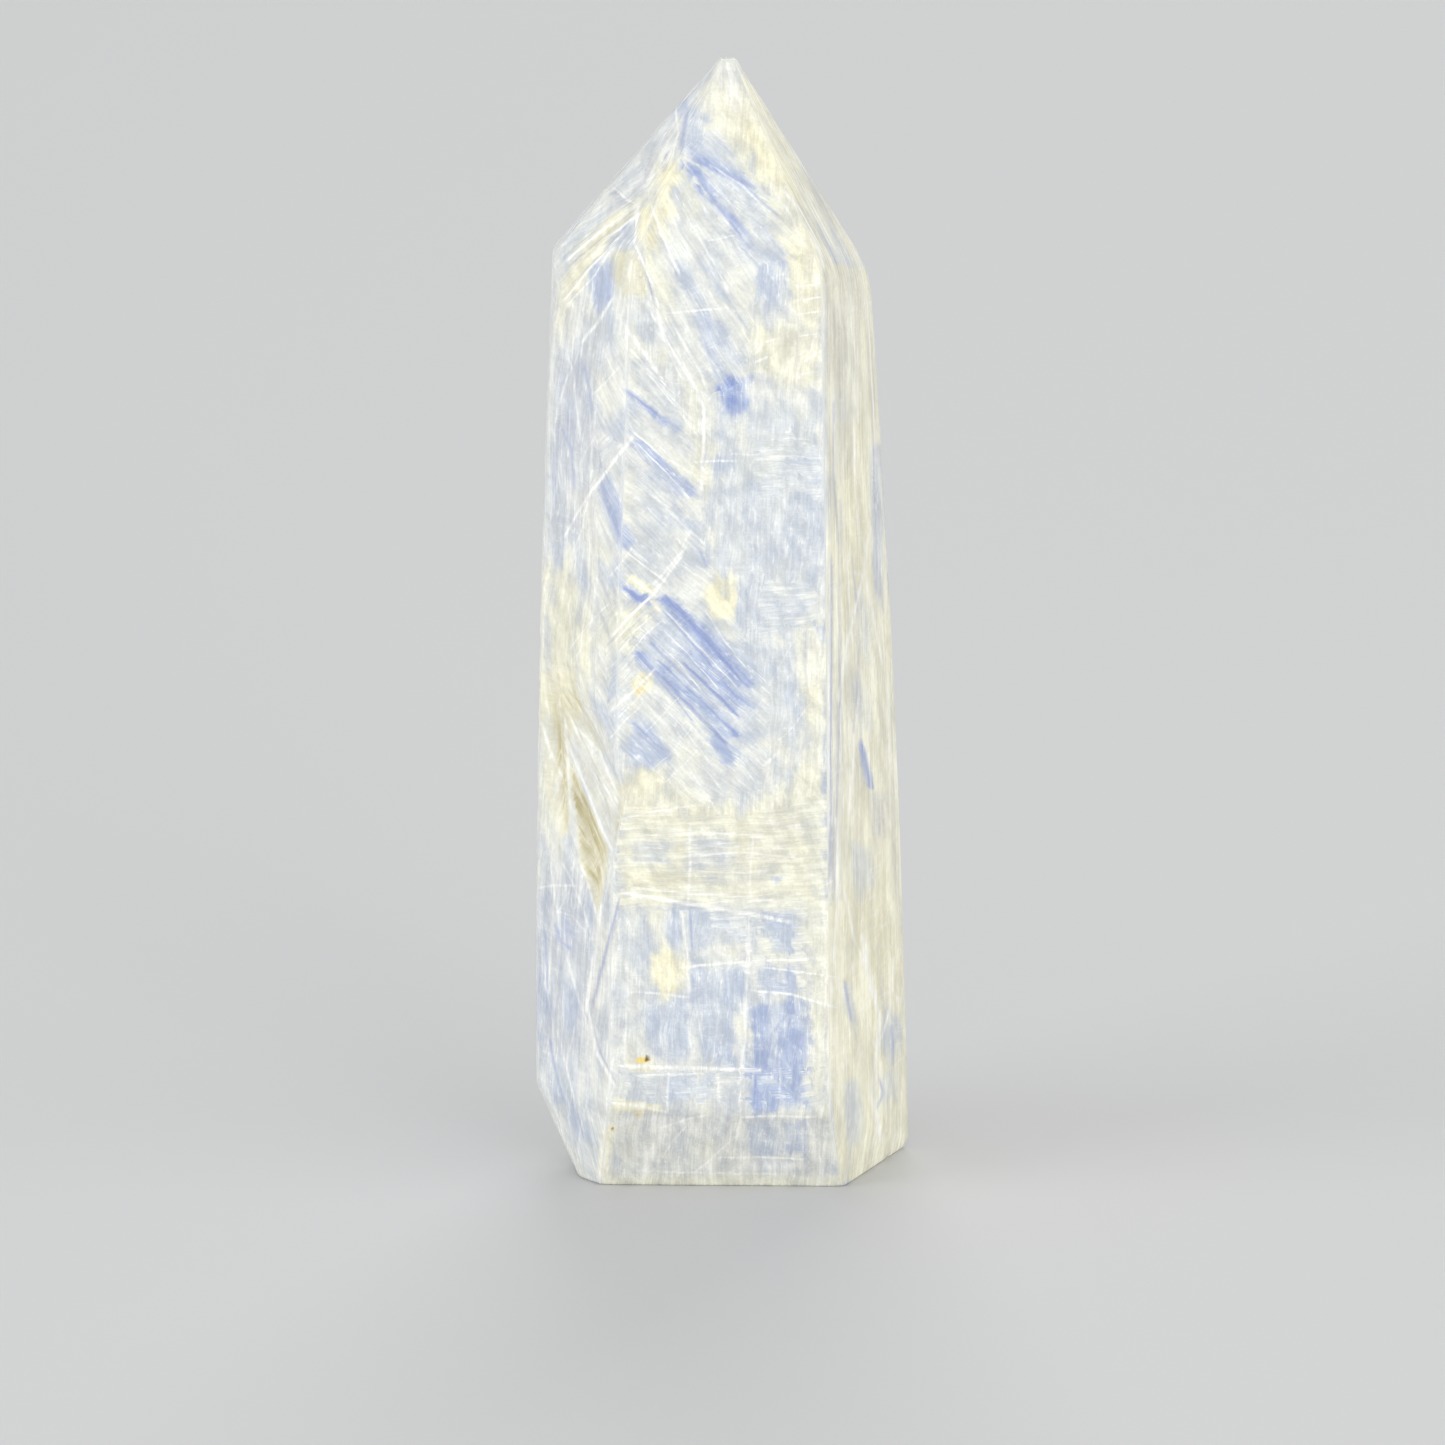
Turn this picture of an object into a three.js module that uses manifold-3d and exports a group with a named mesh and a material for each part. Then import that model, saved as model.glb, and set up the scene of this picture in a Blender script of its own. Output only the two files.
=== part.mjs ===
// Kyanite point: one piece of blue and cream kyanite, ground and polished into a seven-sided tower.
//
// The tower stands on a flat foot. Its lower end is undercut all round but on the right, its sides lean in
// a little as they rise and are slightly crowned by the polishing wheel, and seven top facets meet at a very
// small flat. On the left side the rough crystal was never reached by the wheel: a natural hollow is left
// there, and the broken kyanite blades show in it.
//
// Units are millimetres, +Z is up and the front side faces -Y. The origin is on the foot's plane, under the
// middle of the tower's bounding box.

import * as THREE from 'three';
import { ConvexGeometry } from 'three/addons/geometries/ConvexGeometry.js';
import { mergeVertices } from 'three/addons/utils/BufferGeometryUtils.js';
import Module from 'manifold-3d';

// ---------------------------------------------------------------- driving dimensions

const HEIGHT = 84.4;

// The seven upright edges, counter-clockwise seen from above. The foot is where an edge meets the surface
// that the tower stands on, the rim is the widest place, just above the undercut, and the shoulder is where
// the side facets end. The bow is how far the edge swells outward, half way up.
const EDGES = {
  frontLeft: { foot: [-9.3, -5.94], rim: [-8.58, -10.1, 7.6], shoulder: [-6.18, -8.3, 71.1], bow: 0.35 },
  frontRight: { foot: [9.02, -6.85], rim: [8.0, -10.1, 6.7], shoulder: [7.71, -8.3, 70.6], bow: 0.2 },
  right: { foot: [13.66, 2.95], rim: [14.02, 3.15, 0.6], shoulder: [11.35, 3.05, 67.6], bow: 0.45 },
  backRight: { foot: [8.9, 9.4], rim: [9.1, 10.1, 6.5], shoulder: [7.1, 8.5, 69.2], bow: 0.3 },
  backLeft: { foot: [-6.2, 7.4], rim: [-7.3, 10.0, 6.8], shoulder: [-6.2, 8.4, 69.9], bow: 0.3 },
  farLeft: { foot: [-11.39, -0.42], rim: [-13.9, 3.11, 6.5], shoulder: [-12.0, 4.4, 69.8], bow: 0.35 },
  left: { foot: [-10.82, -4.17], rim: [-14.02, -1.52, 6.5], shoulder: [-11.98, -0.6, 70.2], bow: 0.4 },
};
const EDGE_STEPS = 8; // straight lengths in one bowed edge
const CROWN = 0.12; // how far the middle of a side facet stands out from its two edges

// Two corners of the outline are worn round: the foot's left front and the right shoulder.
const WORN_CORNERS = [
  [-10.36, -4.67, 0],
  [11.05, 3.05, 68.5],
  [10.72, 3.0, 69.05],
];

// The tip is ground off to a flat little more than a millimetre across.
const TIP_CORNERS = [
  [0.26, 0.3],
  [0.45, 0.0],
  [1.42, 0.0],
  [1.58, 0.4],
  [1.35, 1.05],
  [0.6, 1.1],
  [0.3, 0.75],
];

// The hollow is made of clefts, and the ridges left between them are the broken blades. A cleft's floor
// points are [along, up, depth] on the left facet: along is measured from its front edge towards its rear
// edge, up from HOLLOW_HEIGHT, and depth into the stone. Its lips are [along, up] on the polished surface.
const HOLLOW_HEIGHT = 30;
const HOLLOW_REACH = 8; // how far the hollow runs up and down from that height
const CLEFTS = {
  deepGroove: {
    floor: [[8.2, 1.6, 1.5], [7.25, -1.3, 1.75], [4.8, -5.3, 1.35], [2.5, -7.6, 0.4]],
    lips: [[8.9, 0.5], [7.3, -1.8], [5.95, -3.45], [3.9, -6.05], [1.83, -8.1], [1.42, -6.5], [0.94, -5.0],
      [0.22, -2.8], [3.45, 2.5], [5.7, 4.2]],
  },
  bladeValley: {
    floor: [[7.2, 4.3, 0.8], [5.6, 2.2, 1.0], [3.6, 0.1, 1.0], [1.4, -1.5, 0.8]],
    lips: [[8.2, 4.6], [6.5, -0.4], [2.2, -3.4], [0.3, -2.6], [-0.3, -0.8], [1.6, 3.0], [5.6, 5.6]],
  },
  flakeScar: {
    floor: [[6.8, 5.6, 0.55], [4.6, 4.2, 0.6], [1.5, 2.4, 0.7], [-0.45, 1.2, 0.8], [-0.3, -0.4, 0.6],
      [1.4, 0.3, 0.55], [5.0, 3.2, 0.55]],
    lips: [[8.35, 8.25], [6.3, 6.74], [2.6, 4.92], [1.48, 4.33], [0.21, 3.24], [-0.8, 2.4], [-1.0, 0.6],
      [-0.7, -0.9], [1.2, -1.2], [6.2, 2.6], [8.3, 5.6]],
  },
  upperCrack: {
    floor: [[5.2, 4.7, 0.95], [3.2, 3.7, 1.2], [1.2, 2.6, 1.25], [-0.5, 1.6, 1.2]],
    lips: [[6.3, 6.3], [2.6, 4.92], [1.48, 4.33], [0.21, 3.24], [-1.0, 2.5], [-1.1, 1.1], [1.0, 1.5],
      [3.2, 2.9], [5.9, 4.4]],
  },
  rearValley: {
    floor: [[9.3, 7.0, 0.4], [9.15, 3.4, 1.0], [8.9, -0.4, 1.15], [7.1, -2.4, 0.6]],
    lips: [[9.6, 7.9], [9.9, 4.4], [9.8, 0.8], [8.85, -1.0], [7.4, -2.2], [6.6, -3.0], [5.2, -0.4],
      [5.6, 3.4], [7.6, 7.2]],
  },
};
const LIP_RISE = 1; // how far a cutter stands out of the stone, so that it cuts cleanly through the surface

// Small damage. A chip is a flat break on an outer edge, given by the two ends of the break on the edge, its
// deepest point and how far it reaches to either side. The fissure is a narrow open crack that runs down the
// front side from the shoulder. The pits are in the upper left facet.
const CHIPS = {
  rightEdge: { ends: [[14.1, 3.1, 5.6], [14.1, 3.1, 3.6]], deep: [13.72, 3.1, 4.8], reach: 1.1 },
  rightFoot: { ends: [[11.9, -0.9, 0.4], [12.8, 1.1, 0.3]], deep: [12.1, 0.25, 0], reach: 0.35 },
  rightTop: { ends: [[8.35, 2.2, 74.5], [7.35, 2.0, 75.9]], deep: [7.6, 2.1, 74.9], reach: 0.9 },
};
const CHIP_FALL = 0.5; // how steeply a chip's bottom falls back towards the edge's far sides
const FISSURE = [[-6.06, -8.25, 71.6], [-5.28, -8.4, 70.38], [-4.82, -8.44, 69.05], [-4.29, -8.53, 66.75]];
const FISSURE_INWARD = [0.35, 1, 0];
const FISSURE_WIDTH = 0.35;
const FISSURE_DEPTH = 0.4;
const PITS = [
  { place: [-3.63, -3.05, 77.7], radius: 0.45, depth: 0.3 },
  { place: [-6.5, -2.9, 74.7], radius: 0.8, depth: 0.25 },
];
const PIT_OUTWARD = [-0.67, -0.43, 0.6];

const MERGE_DISTANCE = 1e-5; // corners closer than this are one corner

// ---------------------------------------------------------------- solids

const wasm = await Module();
wasm.setup();

/** Turns a closed three.js geometry into a solid that can be joined and cut. */
function toSolid(geometry) {
  const bare = geometry.clone();
  bare.deleteAttribute('normal');
  bare.deleteAttribute('uv');
  const merged = mergeVertices(bare, MERGE_DISTANCE);
  return new wasm.Manifold(
    new wasm.Mesh({
      numProp: 3,
      vertProperties: new Float32Array(merged.attributes.position.array),
      triVerts: new Uint32Array(merged.index.array),
    }),
  );
}

/** Turns a solid back into a three.js geometry with flat facets. */
function toGeometry(solid) {
  const mesh = solid.getMesh();
  const geometry = new THREE.BufferGeometry();
  geometry.setAttribute('position', new THREE.BufferAttribute(mesh.vertProperties, 3));
  geometry.setIndex(new THREE.BufferAttribute(mesh.triVerts, 1));
  const flat = geometry.toNonIndexed();
  flat.computeVertexNormals();
  return flat;
}

/** The solid with flat faces that wraps all the points. */
function wrap(points) {
  return toSolid(new ConvexGeometry(points));
}

/** A point on an upright edge, from its rim (0) to its shoulder (1), swelled outward by its bow. */
function edgePoint(edge, fraction) {
  const point = new THREE.Vector3(...edge.rim).lerp(new THREE.Vector3(...edge.shoulder), fraction);
  const outward = new THREE.Vector3(point.x, point.y, 0).normalize();
  return point.addScaledVector(outward, edge.bow * 4 * fraction * (1 - fraction));
}

/** The point of an upright edge at a height between its rim and its shoulder. */
function edgePointAt(edge, height) {
  const fraction = (height - edge.rim[2]) / (edge.shoulder[2] - edge.rim[2]);
  return edgePoint(edge, fraction);
}

/** The polished tower before any damage: foot, bowed edges, crowned sides, shoulder and tip. */
function polishedTower() {
  const edges = Object.values(EDGES);
  const points = [];
  edges.forEach((edge, index) => {
    const next = edges[(index + 1) % edges.length];
    points.push(new THREE.Vector3(edge.foot[0], edge.foot[1], 0));
    for (let step = 0; step <= EDGE_STEPS; step += 1) {
      const here = edgePoint(edge, step / EDGE_STEPS);
      const there = edgePoint(next, step / EDGE_STEPS);
      const outward = new THREE.Vector3(there.y - here.y, here.x - there.x, 0).normalize();
      points.push(here);
      points.push(here.clone().lerp(there, 0.5).addScaledVector(outward, CROWN));
    }
  });
  WORN_CORNERS.forEach((corner) => points.push(new THREE.Vector3(...corner)));
  TIP_CORNERS.forEach(([x, y]) => points.push(new THREE.Vector3(x, y, HEIGHT)));
  return wrap(points);
}

/** The left facet's own directions at the hollow: along it, up it and out of it. */
function leftFacet() {
  const origin = edgePointAt(EDGES.frontLeft, HOLLOW_HEIGHT);
  const up = edgePointAt(EDGES.frontLeft, HOLLOW_HEIGHT + HOLLOW_REACH);
  up.sub(edgePointAt(EDGES.frontLeft, HOLLOW_HEIGHT - HOLLOW_REACH)).normalize();
  const along = edgePointAt(EDGES.left, HOLLOW_HEIGHT).sub(origin);
  along.addScaledVector(up, -along.dot(up)).normalize();
  const out = new THREE.Vector3().crossVectors(along, up).negate();
  return { origin, up, along, out };
}

/** The cutter of one cleft of the hollow. */
function cleftCutter(cleft, facet) {
  const place = (along, up, depth) =>
    facet.origin
      .clone()
      .addScaledVector(facet.along, along)
      .addScaledVector(facet.up, up)
      .addScaledVector(facet.out, -depth);
  const points = cleft.floor.map(([along, up, depth]) => place(along, up, depth));
  cleft.lips.forEach(([along, up]) => {
    points.push(place(along, up, 0));
    points.push(place(along, up, -LIP_RISE));
  });
  return wrap(points);
}

/** The cutter of a chip: a wedge with its blade at the deepest point, open to the outside. */
function chipCutter({ ends, deep, reach }) {
  const outward = new THREE.Vector3(deep[0], deep[1], 0).normalize();
  const across = new THREE.Vector3(-outward.y, outward.x, 0);
  const points = [];
  [-reach, reach].forEach((side) => {
    ends.forEach((end) => {
      const onEdge = new THREE.Vector3(...end).addScaledVector(across, side);
      points.push(onEdge.clone().addScaledVector(outward, -reach * CHIP_FALL));
      points.push(onEdge.addScaledVector(outward, reach));
    });
  });
  points.push(new THREE.Vector3(...deep));
  return wrap(points);
}

/** The cutter of one straight length of the fissure, a narrow wedge pointing into the stone. */
function fissureCutter(start, end) {
  const inward = new THREE.Vector3(...FISSURE_INWARD).normalize();
  const across = new THREE.Vector3().subVectors(end, start).cross(inward).normalize();
  const points = [];
  [start, end].forEach((point) => {
    points.push(point.clone().addScaledVector(inward, FISSURE_DEPTH));
    [-1, 1].forEach((side) => {
      const lip = point.clone().addScaledVector(across, (side * FISSURE_WIDTH) / 2);
      points.push(lip.clone().addScaledVector(inward, -LIP_RISE));
      points.push(lip);
    });
  });
  return wrap(points);
}

/** The cutter of a pit: a low-sided ball sunk to the pit's depth. */
function pitCutter({ place, radius, depth }) {
  const outward = new THREE.Vector3(...PIT_OUTWARD).normalize();
  const ball = new THREE.IcosahedronGeometry(radius, 1);
  const centre = new THREE.Vector3(...place).addScaledVector(outward, radius - depth);
  ball.translate(centre.x, centre.y, centre.z);
  return toSolid(ball);
}

/** The whole stone: the polished tower with its hollow, chips, fissure and pits cut out of it. */
function kyanitePoint() {
  let stone = polishedTower();
  const facet = leftFacet();
  Object.values(CLEFTS).forEach((cleft) => {
    stone = stone.subtract(cleftCutter(cleft, facet));
  });
  Object.values(CHIPS).forEach((chip) => {
    stone = stone.subtract(chipCutter(chip));
  });
  const crack = FISSURE.map((point) => new THREE.Vector3(...point));
  crack.slice(1).forEach((end, index) => {
    stone = stone.subtract(fissureCutter(crack[index], end));
  });
  PITS.forEach((pit) => {
    stone = stone.subtract(pitCutter(pit));
  });
  return toGeometry(stone);
}

// ---------------------------------------------------------------- the part

const kyanite = new THREE.MeshStandardMaterial({ color: 0xd3d9e2, roughness: 0.22, metalness: 0 });

const geometry = kyanitePoint();
geometry.computeBoundingBox();
const middle = geometry.boundingBox.getCenter(new THREE.Vector3());
geometry.translate(-middle.x, -middle.y, -geometry.boundingBox.min.z);

const stone = new THREE.Mesh(geometry, kyanite);
stone.name = 'kyanite_point';

const part = new THREE.Group();
part.name = 'kyanite_point_part';
part.add(stone);

export default part;
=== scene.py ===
"""Kyanite point: the polished stone, its natural hollow, its finish and a plain studio around it.

The stone is one mesh that stands for the CAD node kyanite_point. Lengths are in millimetres until a mesh,
light or camera is made, and in metres from there on. A place on the stone that is seen from the front may also
be given as a view place: (across, down) in the camera's square view, which is 1445 units a side.
"""

import logging
import math
from collections.abc import Iterable
from dataclasses import dataclass, field
from enum import Enum, IntEnum
from itertools import chain

import bpy
import numpy as np
from mathutils import Matrix, Vector
from mathutils.bvhtree import BVHTree


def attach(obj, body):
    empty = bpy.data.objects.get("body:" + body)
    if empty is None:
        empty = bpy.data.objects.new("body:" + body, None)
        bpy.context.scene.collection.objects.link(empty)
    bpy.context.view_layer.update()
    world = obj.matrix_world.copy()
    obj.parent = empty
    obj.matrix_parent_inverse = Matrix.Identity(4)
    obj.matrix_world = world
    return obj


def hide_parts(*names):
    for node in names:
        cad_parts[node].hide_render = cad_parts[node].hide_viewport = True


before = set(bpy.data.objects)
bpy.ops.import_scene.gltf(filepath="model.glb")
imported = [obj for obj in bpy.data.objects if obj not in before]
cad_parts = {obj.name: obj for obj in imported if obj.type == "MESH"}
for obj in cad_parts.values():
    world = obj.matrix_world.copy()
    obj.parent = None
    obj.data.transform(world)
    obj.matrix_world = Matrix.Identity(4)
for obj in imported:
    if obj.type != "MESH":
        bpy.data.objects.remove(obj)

LOG = logging.getLogger("kyanite_point")

MM = 0.001  # metres in a millimetre
CAD_NODE = "kyanite_point"
PIECE = "kyanite_stone"
SLOT = "kyanite"
CENTRING = np.array([0.03, 0.025, 0.0])  # from the ground outline's own middle to the frame's origin
FLAT = np.array([1.0, 1.0, 0.0])  # takes the height out of a direction

FRONT_SIDES = (0, 1, 6)  # the sides that the camera sees, counted from the front one
LAST_EDGE = 2  # the side whose first edge ends the front
HOLLOW_SIDES = (0, 6)  # the sides that the hollow cuts into
WEAR_LIMIT = 0.45  # the share of a stretch or side that wear may take at each end
WORN_STATIONS = np.array([0.0, 0.28, 0.6, 1.0])  # where the rows of a worn stretch are, as shares of it
WORN_LONGEST = 0.4  # the longest worn stretch, as a share of a length
TINY = 1e-9  # keeps a division from failing
LITTLE = 1e-6
SHARP = 4.0  # a patch at least this soft frays further than it is soft
FRAY_SCALE, FRAY_MORE = 2.0, 2.0  # how much further
BLADE_SOFT = 4.0  # how soft a blade is that isn't given its own softness
BLADE_SLANT = 0.35  # how slanted a blade's ends are, as a share of its width

ViewPlace = tuple[float, float]
Point = tuple[float, float, float]
Pair = tuple[float, float]
Array = np.ndarray
Socket = bpy.types.NodeSocket


def placed(name: str, data: bpy.types.ID) -> bpy.types.Object:
    """A new object in the scene.

    Args:
        name: Its name.
        data: Its mesh, light or camera.

    Returns:
        The object.
    """
    made = bpy.data.objects.new(name, data)
    bpy.context.scene.collection.objects.link(made)
    return made


# ---------------------------------------- view


@dataclass(frozen=True)
class ViewCamera:
    """The camera in front of the stone, and the rays that its view places stand for."""

    target: Point = (0.168, 0.025, 34.162)
    distance: float = 745.0
    elevation: float = math.radians(15.0)
    roll: float = math.radians(-0.45)
    units_per_mm: float = 13.42  # view units that a millimetre takes at the target
    view_side: float = 1445.0
    sensor: float = 36.0
    clip: Pair = (0.05, 20.0)  # the nearest and farthest that it sees, in metres

    def axes(self) -> tuple[Array, Array, Array]:
        """The directions that the camera is turned to.

        Returns:
            Its right, up and forward directions.
        """
        level_right = np.array([1.0, 0.0, 0.0])
        level_up = np.array([0.0, math.sin(self.elevation), math.cos(self.elevation)])
        forward = np.array([0.0, math.cos(self.elevation), -math.sin(self.elevation)])
        right = math.cos(self.roll) * level_right + math.sin(self.roll) * level_up
        up = -math.sin(self.roll) * level_right + math.cos(self.roll) * level_up
        return right, up, forward

    def position(self) -> Array:
        """Where the camera stands, in millimetres."""
        return np.array(self.target) - self.distance * self.axes()[2]

    def ray(self, place: ViewPlace) -> Array:
        """The direction from the camera through a view place.

        Args:
            place: The view place, (across, down).

        Returns:
            A unit vector.
        """
        right, up, forward = self.axes()
        focal = self.units_per_mm * self.distance
        middle = self.view_side / 2
        way = forward + right * (place[0] - middle) / focal - up * (place[1] - middle) / focal
        return way / np.linalg.norm(way)

    def places(self, points: Array) -> Array:
        """The view places of points.

        Args:
            points: Points in millimetres [..., xyz].

        Returns:
            Their view places [..., 2].
        """
        right, up, forward = self.axes()
        offset = points - self.position()
        scale = self.units_per_mm * self.distance / (offset @ forward)
        middle = self.view_side / 2
        return np.stack([middle + (offset @ right) * scale, middle - (offset @ up) * scale], axis=-1)

    def build(self) -> bpy.types.Object:
        """Makes the camera and sets it as the scene's own.

        Returns:
            The camera object.
        """
        data = bpy.data.cameras.new("view_camera")
        data.sensor_width = self.sensor
        data.lens = self.sensor * self.units_per_mm * self.distance / self.view_side
        data.clip_start, data.clip_end = self.clip
        camera = placed("view_camera", data)
        right, up, forward = self.axes()
        turn = Matrix([right, up, -forward]).transposed()
        camera.matrix_world = Matrix.Translation(Vector(self.position() * MM)) @ turn.to_4x4()
        bpy.context.scene.camera = camera
        return camera


# ---------------------------------------- stone


@dataclass(frozen=True)
class UprightEdge:
    """One upright edge of the tower, from its foot over the foot's rim and the shoulder to the tip.

    Its foot and tip are (across, deep). The bow is how far the edge swells between rim and shoulder, the wear
    is the width of the worn strip, and the shoulder's wear is that strip's length at the shoulder.
    """

    foot: Pair
    rim: Point
    shoulder: Point
    tip: Pair
    bow: float
    wear: float = 0.45
    shoulder_wear: float = 0.5


@dataclass(frozen=True)
class Chip:
    """A small flat break on an outer edge: its deepest point, and how quickly and how far it runs out."""

    deep: Point
    outward: Point
    slope: float
    reach: float = 2.5


@dataclass(frozen=True)
class Relief:
    """A raised or sunken streak: the view places it joins, its half width in view units and its rise in mm."""

    places: tuple[ViewPlace, ...]
    width: float
    rise: float


class Knot(IntEnum):
    """The places along an upright edge at which it turns."""

    BASE = 0
    FOOT = 1
    RIM = 2
    SHOULDER = 3
    TIP = 4
    TIP_MIDDLE = 5


EDGES: dict[str, UprightEdge] = {
    "front_left": UprightEdge(
        (-9.3, -5.94), (-8.58, -10.1, 7.6), (-6.18, -8.3, 71.1), (0.45, 0.0), 0.35, 0.7, 1.4
    ),
    "front_right": UprightEdge(
        (9.02, -6.85), (8.0, -10.1, 6.7), (7.71, -8.3, 70.6), (1.42, 0.0), 0.2, shoulder_wear=1.6
    ),
    "right": UprightEdge(
        (13.66, 2.95), (14.02, 3.15, 0.6), (11.35, 3.05, 67.9), (1.58, 0.4), 0.45, shoulder_wear=2.2
    ),
    "back_right": UprightEdge((8.9, 9.4), (9.1, 10.1, 6.5), (7.1, 8.5, 69.2), (1.35, 1.05), 0.3),
    "back_left": UprightEdge((-6.2, 7.4), (-7.3, 10.0, 6.8), (-6.2, 8.4, 69.9), (0.6, 1.1), 0.3),
    "far_left": UprightEdge((-11.39, -0.42), (-13.9, 3.11, 6.5), (-12.0, 4.4, 69.8), (0.3, 0.75), 0.35),
    "left": UprightEdge((-10.82, -4.17), (-14.02, -1.52, 6.5), (-11.98, -0.6, 70.2), (0.26, 0.3), 0.4),
}

# The hollow's lengthwise lines on the left side, each from its head to its foot and one after the other from
# the left: view places, with the depth below the left side's plane in millimetres as a third number.
HOLLOW_RAILS: dict[str, tuple[Point, ...]] = {
    "outer_lip": (
        (551, 672, 0), (545, 700, 0), (541.5, 725, 0), (541.5, 750, 0), (544, 780, 0), (552, 812, 0),
        (561, 845, 0), (575, 882, 0), (596.5, 917, 0),
    ),
    "third_crest": (
        (552, 672, 0), (548, 701, 0.08), (543.5, 727, 0.1), (549, 755, 0.15), (557, 778, 0.25), (559, 812, 0.2),
        (566, 845, 0.1), (579, 882, 0.06), (596.6, 917, 0),
    ),
    "tan_valley": (
        (553, 672, 0), (555, 702, 0.4), (558, 729, 0.6), (562, 756, 0.75), (563, 780, 0.65), (564.5, 812, 0.45),
        (569, 842, 0.25), (581, 881, 0.1), (596.7, 917, 0),
    ),
    "second_crest": (
        (555, 672, 0), (560, 702, 0.3), (564.5, 730, 0.35), (567.5, 757, 0.4), (568.5, 783, 0.4),
        (570.5, 813, 0.35), (577, 842, 0.25), (586, 880, 0.12), (596.8, 917, 0),
    ),
    "groove_floor": (
        (557, 672, 0), (562.5, 704, 0.4), (568, 733, 0.55), (572.5, 760, 0.65), (577, 788, 0.8),
        (586, 818, 1.05), (592.5, 850, 1), (597.5, 882, 0.7), (597, 917, 0),
    ),
    "first_crest": (
        (560, 673, 0), (565, 706, 0.35), (570, 734, 0.35), (576, 760, 0.35), (583, 788, 0.35), (596, 818, 0.4),
        (609, 847, 0.35), (605, 880, 0), (597.3, 917, 0),
    ),
    "face_foot": (
        (563, 674, 0), (570, 706, 0.45), (577, 731, 0.5), (588, 757, 0.55), (600, 785, 0.6), (608, 815, 0.65),
        (611, 845, 0.4), (606, 879, 0), (597.5, 917, 0),
    ),
    "second_ridge": (
        (565, 674, 0), (572.5, 705, 0.35), (580, 729, 0.3), (591.5, 755, 0.35), (603.5, 784, 0.4),
        (611, 815, 0.5), (611.8, 845, 0.35), (606.3, 879, 0), (597.6, 917, 0),
    ),
    "recess_foot": (
        (568, 675, 0), (577, 703, 0.6), (588, 728, 0.75), (602, 750, 0.85), (613, 774, 0.85), (618, 800, 0.85),
        (618.5, 824, 0.65), (606.6, 879, 0), (597.7, 917, 0),
    ),
    "recess_lip": (
        (571, 676, 0), (580, 701, 0.3), (592, 724, 0.45), (605, 747, 0.35), (615, 770, 0.15), (629, 786, 0.9),
        (621.5, 822, 0.42), (607, 878, 0), (597.8, 917, 0),
    ),
    "upper_lip": (
        (574, 672, 0), (592, 697, 0), (604, 720, 0), (611, 744, 0), (617.5, 770, 0.05), (631, 783, 1),
        (623, 822, 0.5), (608, 878, 0), (598, 917, 0),
    ),
}
LEDGES: tuple[int, ...] = (3, 2, 2, 3, 4, 5, 1, 3, 2, 3)  # narrow ledges between each rail and the next

CHIPS: dict[str, Chip] = {
    "right_edge": Chip((13.72, 3.1, 4.8), (1.0, 0.15, 0.0), 0.3),
    "right_foot": Chip((12.1, 0.25, 0.0), (0.75, -0.3, -0.2), 0.5),
    "right_top": Chip((7.6, 2.1, 74.9), (0.85, 0.25, 0.45), 0.25),
}

RELIEFS: dict[str, Relief] = {
    "fissure": Relief(((634, 221), (634, 252), (644, 272), (651, 290), (658, 321)), 5.0, -0.12),
    "cap_pit": Relief(((663, 167), (667, 159), (670, 151)), 6.0, -0.25),
    "cap_notch": Relief(((615, 191), (626, 199), (637, 205)), 5.0, -0.12),
    "splinter_one": Relief(((567, 259), (600, 230), (632, 207)), 6.0, 0.14),
    "splinter_two": Relief(((572, 276), (604, 244), (634, 218)), 5.0, 0.1),
    "splinter_three": Relief(((566, 300), (590, 270), (618, 240)), 6.0, 0.14),
    "splinter_gap": Relief(((568, 287), (596, 258), (622, 232)), 6.0, -0.1),
    "right_groove": Relief(((832, 560), (831, 700), (829, 880)), 5.0, -0.1),
    "right_groove_two": Relief(((840, 640), (838, 760), (835, 890)), 4.0, -0.07),
    "right_foot_pit": Relief(((878, 1126), (884, 1136)), 7.0, -0.12),
}


def unit(vectors: Array) -> Array:
    """The vectors scaled to length one."""
    return vectors / np.maximum(np.linalg.norm(vectors, axis=-1, keepdims=True), TINY)


def smooth_step(low: float, high: float, value: Array) -> Array:
    """A soft step from 0 at low to 1 at high."""
    t = np.clip((value - low) / (high - low), 0.0, 1.0)
    return t * t * (3.0 - 2.0 * t)


def stations(length: float, step: float, worn: Pair) -> Array:
    """Distances along a length, closer together in the worn stretch at each end.

    Args:
        length: The whole length.
        step: The largest distance between two stations.
        worn: How long the worn stretch is at the start and at the end.

    Returns:
        The distances as fractions of the length, without the far end.
    """
    longest = length * WORN_LONGEST
    start = WORN_STATIONS * min(worn[0], longest)
    end = length - WORN_STATIONS[::-1] * min(worn[1], longest)
    inner = np.linspace(start[-1], end[0], max(2, int(math.ceil((end[0] - start[-1]) / step)) + 1))
    return np.concatenate([start[:-1], inner, end[1:-1]]) / length


def segment_gap(places: Array, start: Array, end: Array) -> Array:
    """How far places are from a straight stretch between two of them.

    Args:
        places: The places [..., 2].
        start: The stretch's start.
        end: Its end.

    Returns:
        The distances.
    """
    way, offset = end - start, places - start
    share = np.clip(offset @ way / (way @ way), 0.0, 1.0)
    return np.linalg.norm(offset - share[..., None] * way, axis=-1)


def worn_move(ahead: Array, back: Array, worn: Array, away: Array) -> Array:
    """How far wear moves points near the corners that it has rounded.

    Args:
        ahead: The stretch on one side of each corner.
        back: The stretch on its other side.
        worn: How much of them is worn.
        away: Each point's distance from its corner.

    Returns:
        The move of each.
    """
    shorter = np.minimum(np.linalg.norm(ahead, axis=-1), np.linalg.norm(back, axis=-1))
    reach = np.maximum(np.minimum(worn, WEAR_LIMIT * shorter), LITTLE)
    share = np.maximum(reach - away, 0.0) ** 2 / (4.0 * reach)
    return (unit(ahead) + unit(back)) * share[:, None]


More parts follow.
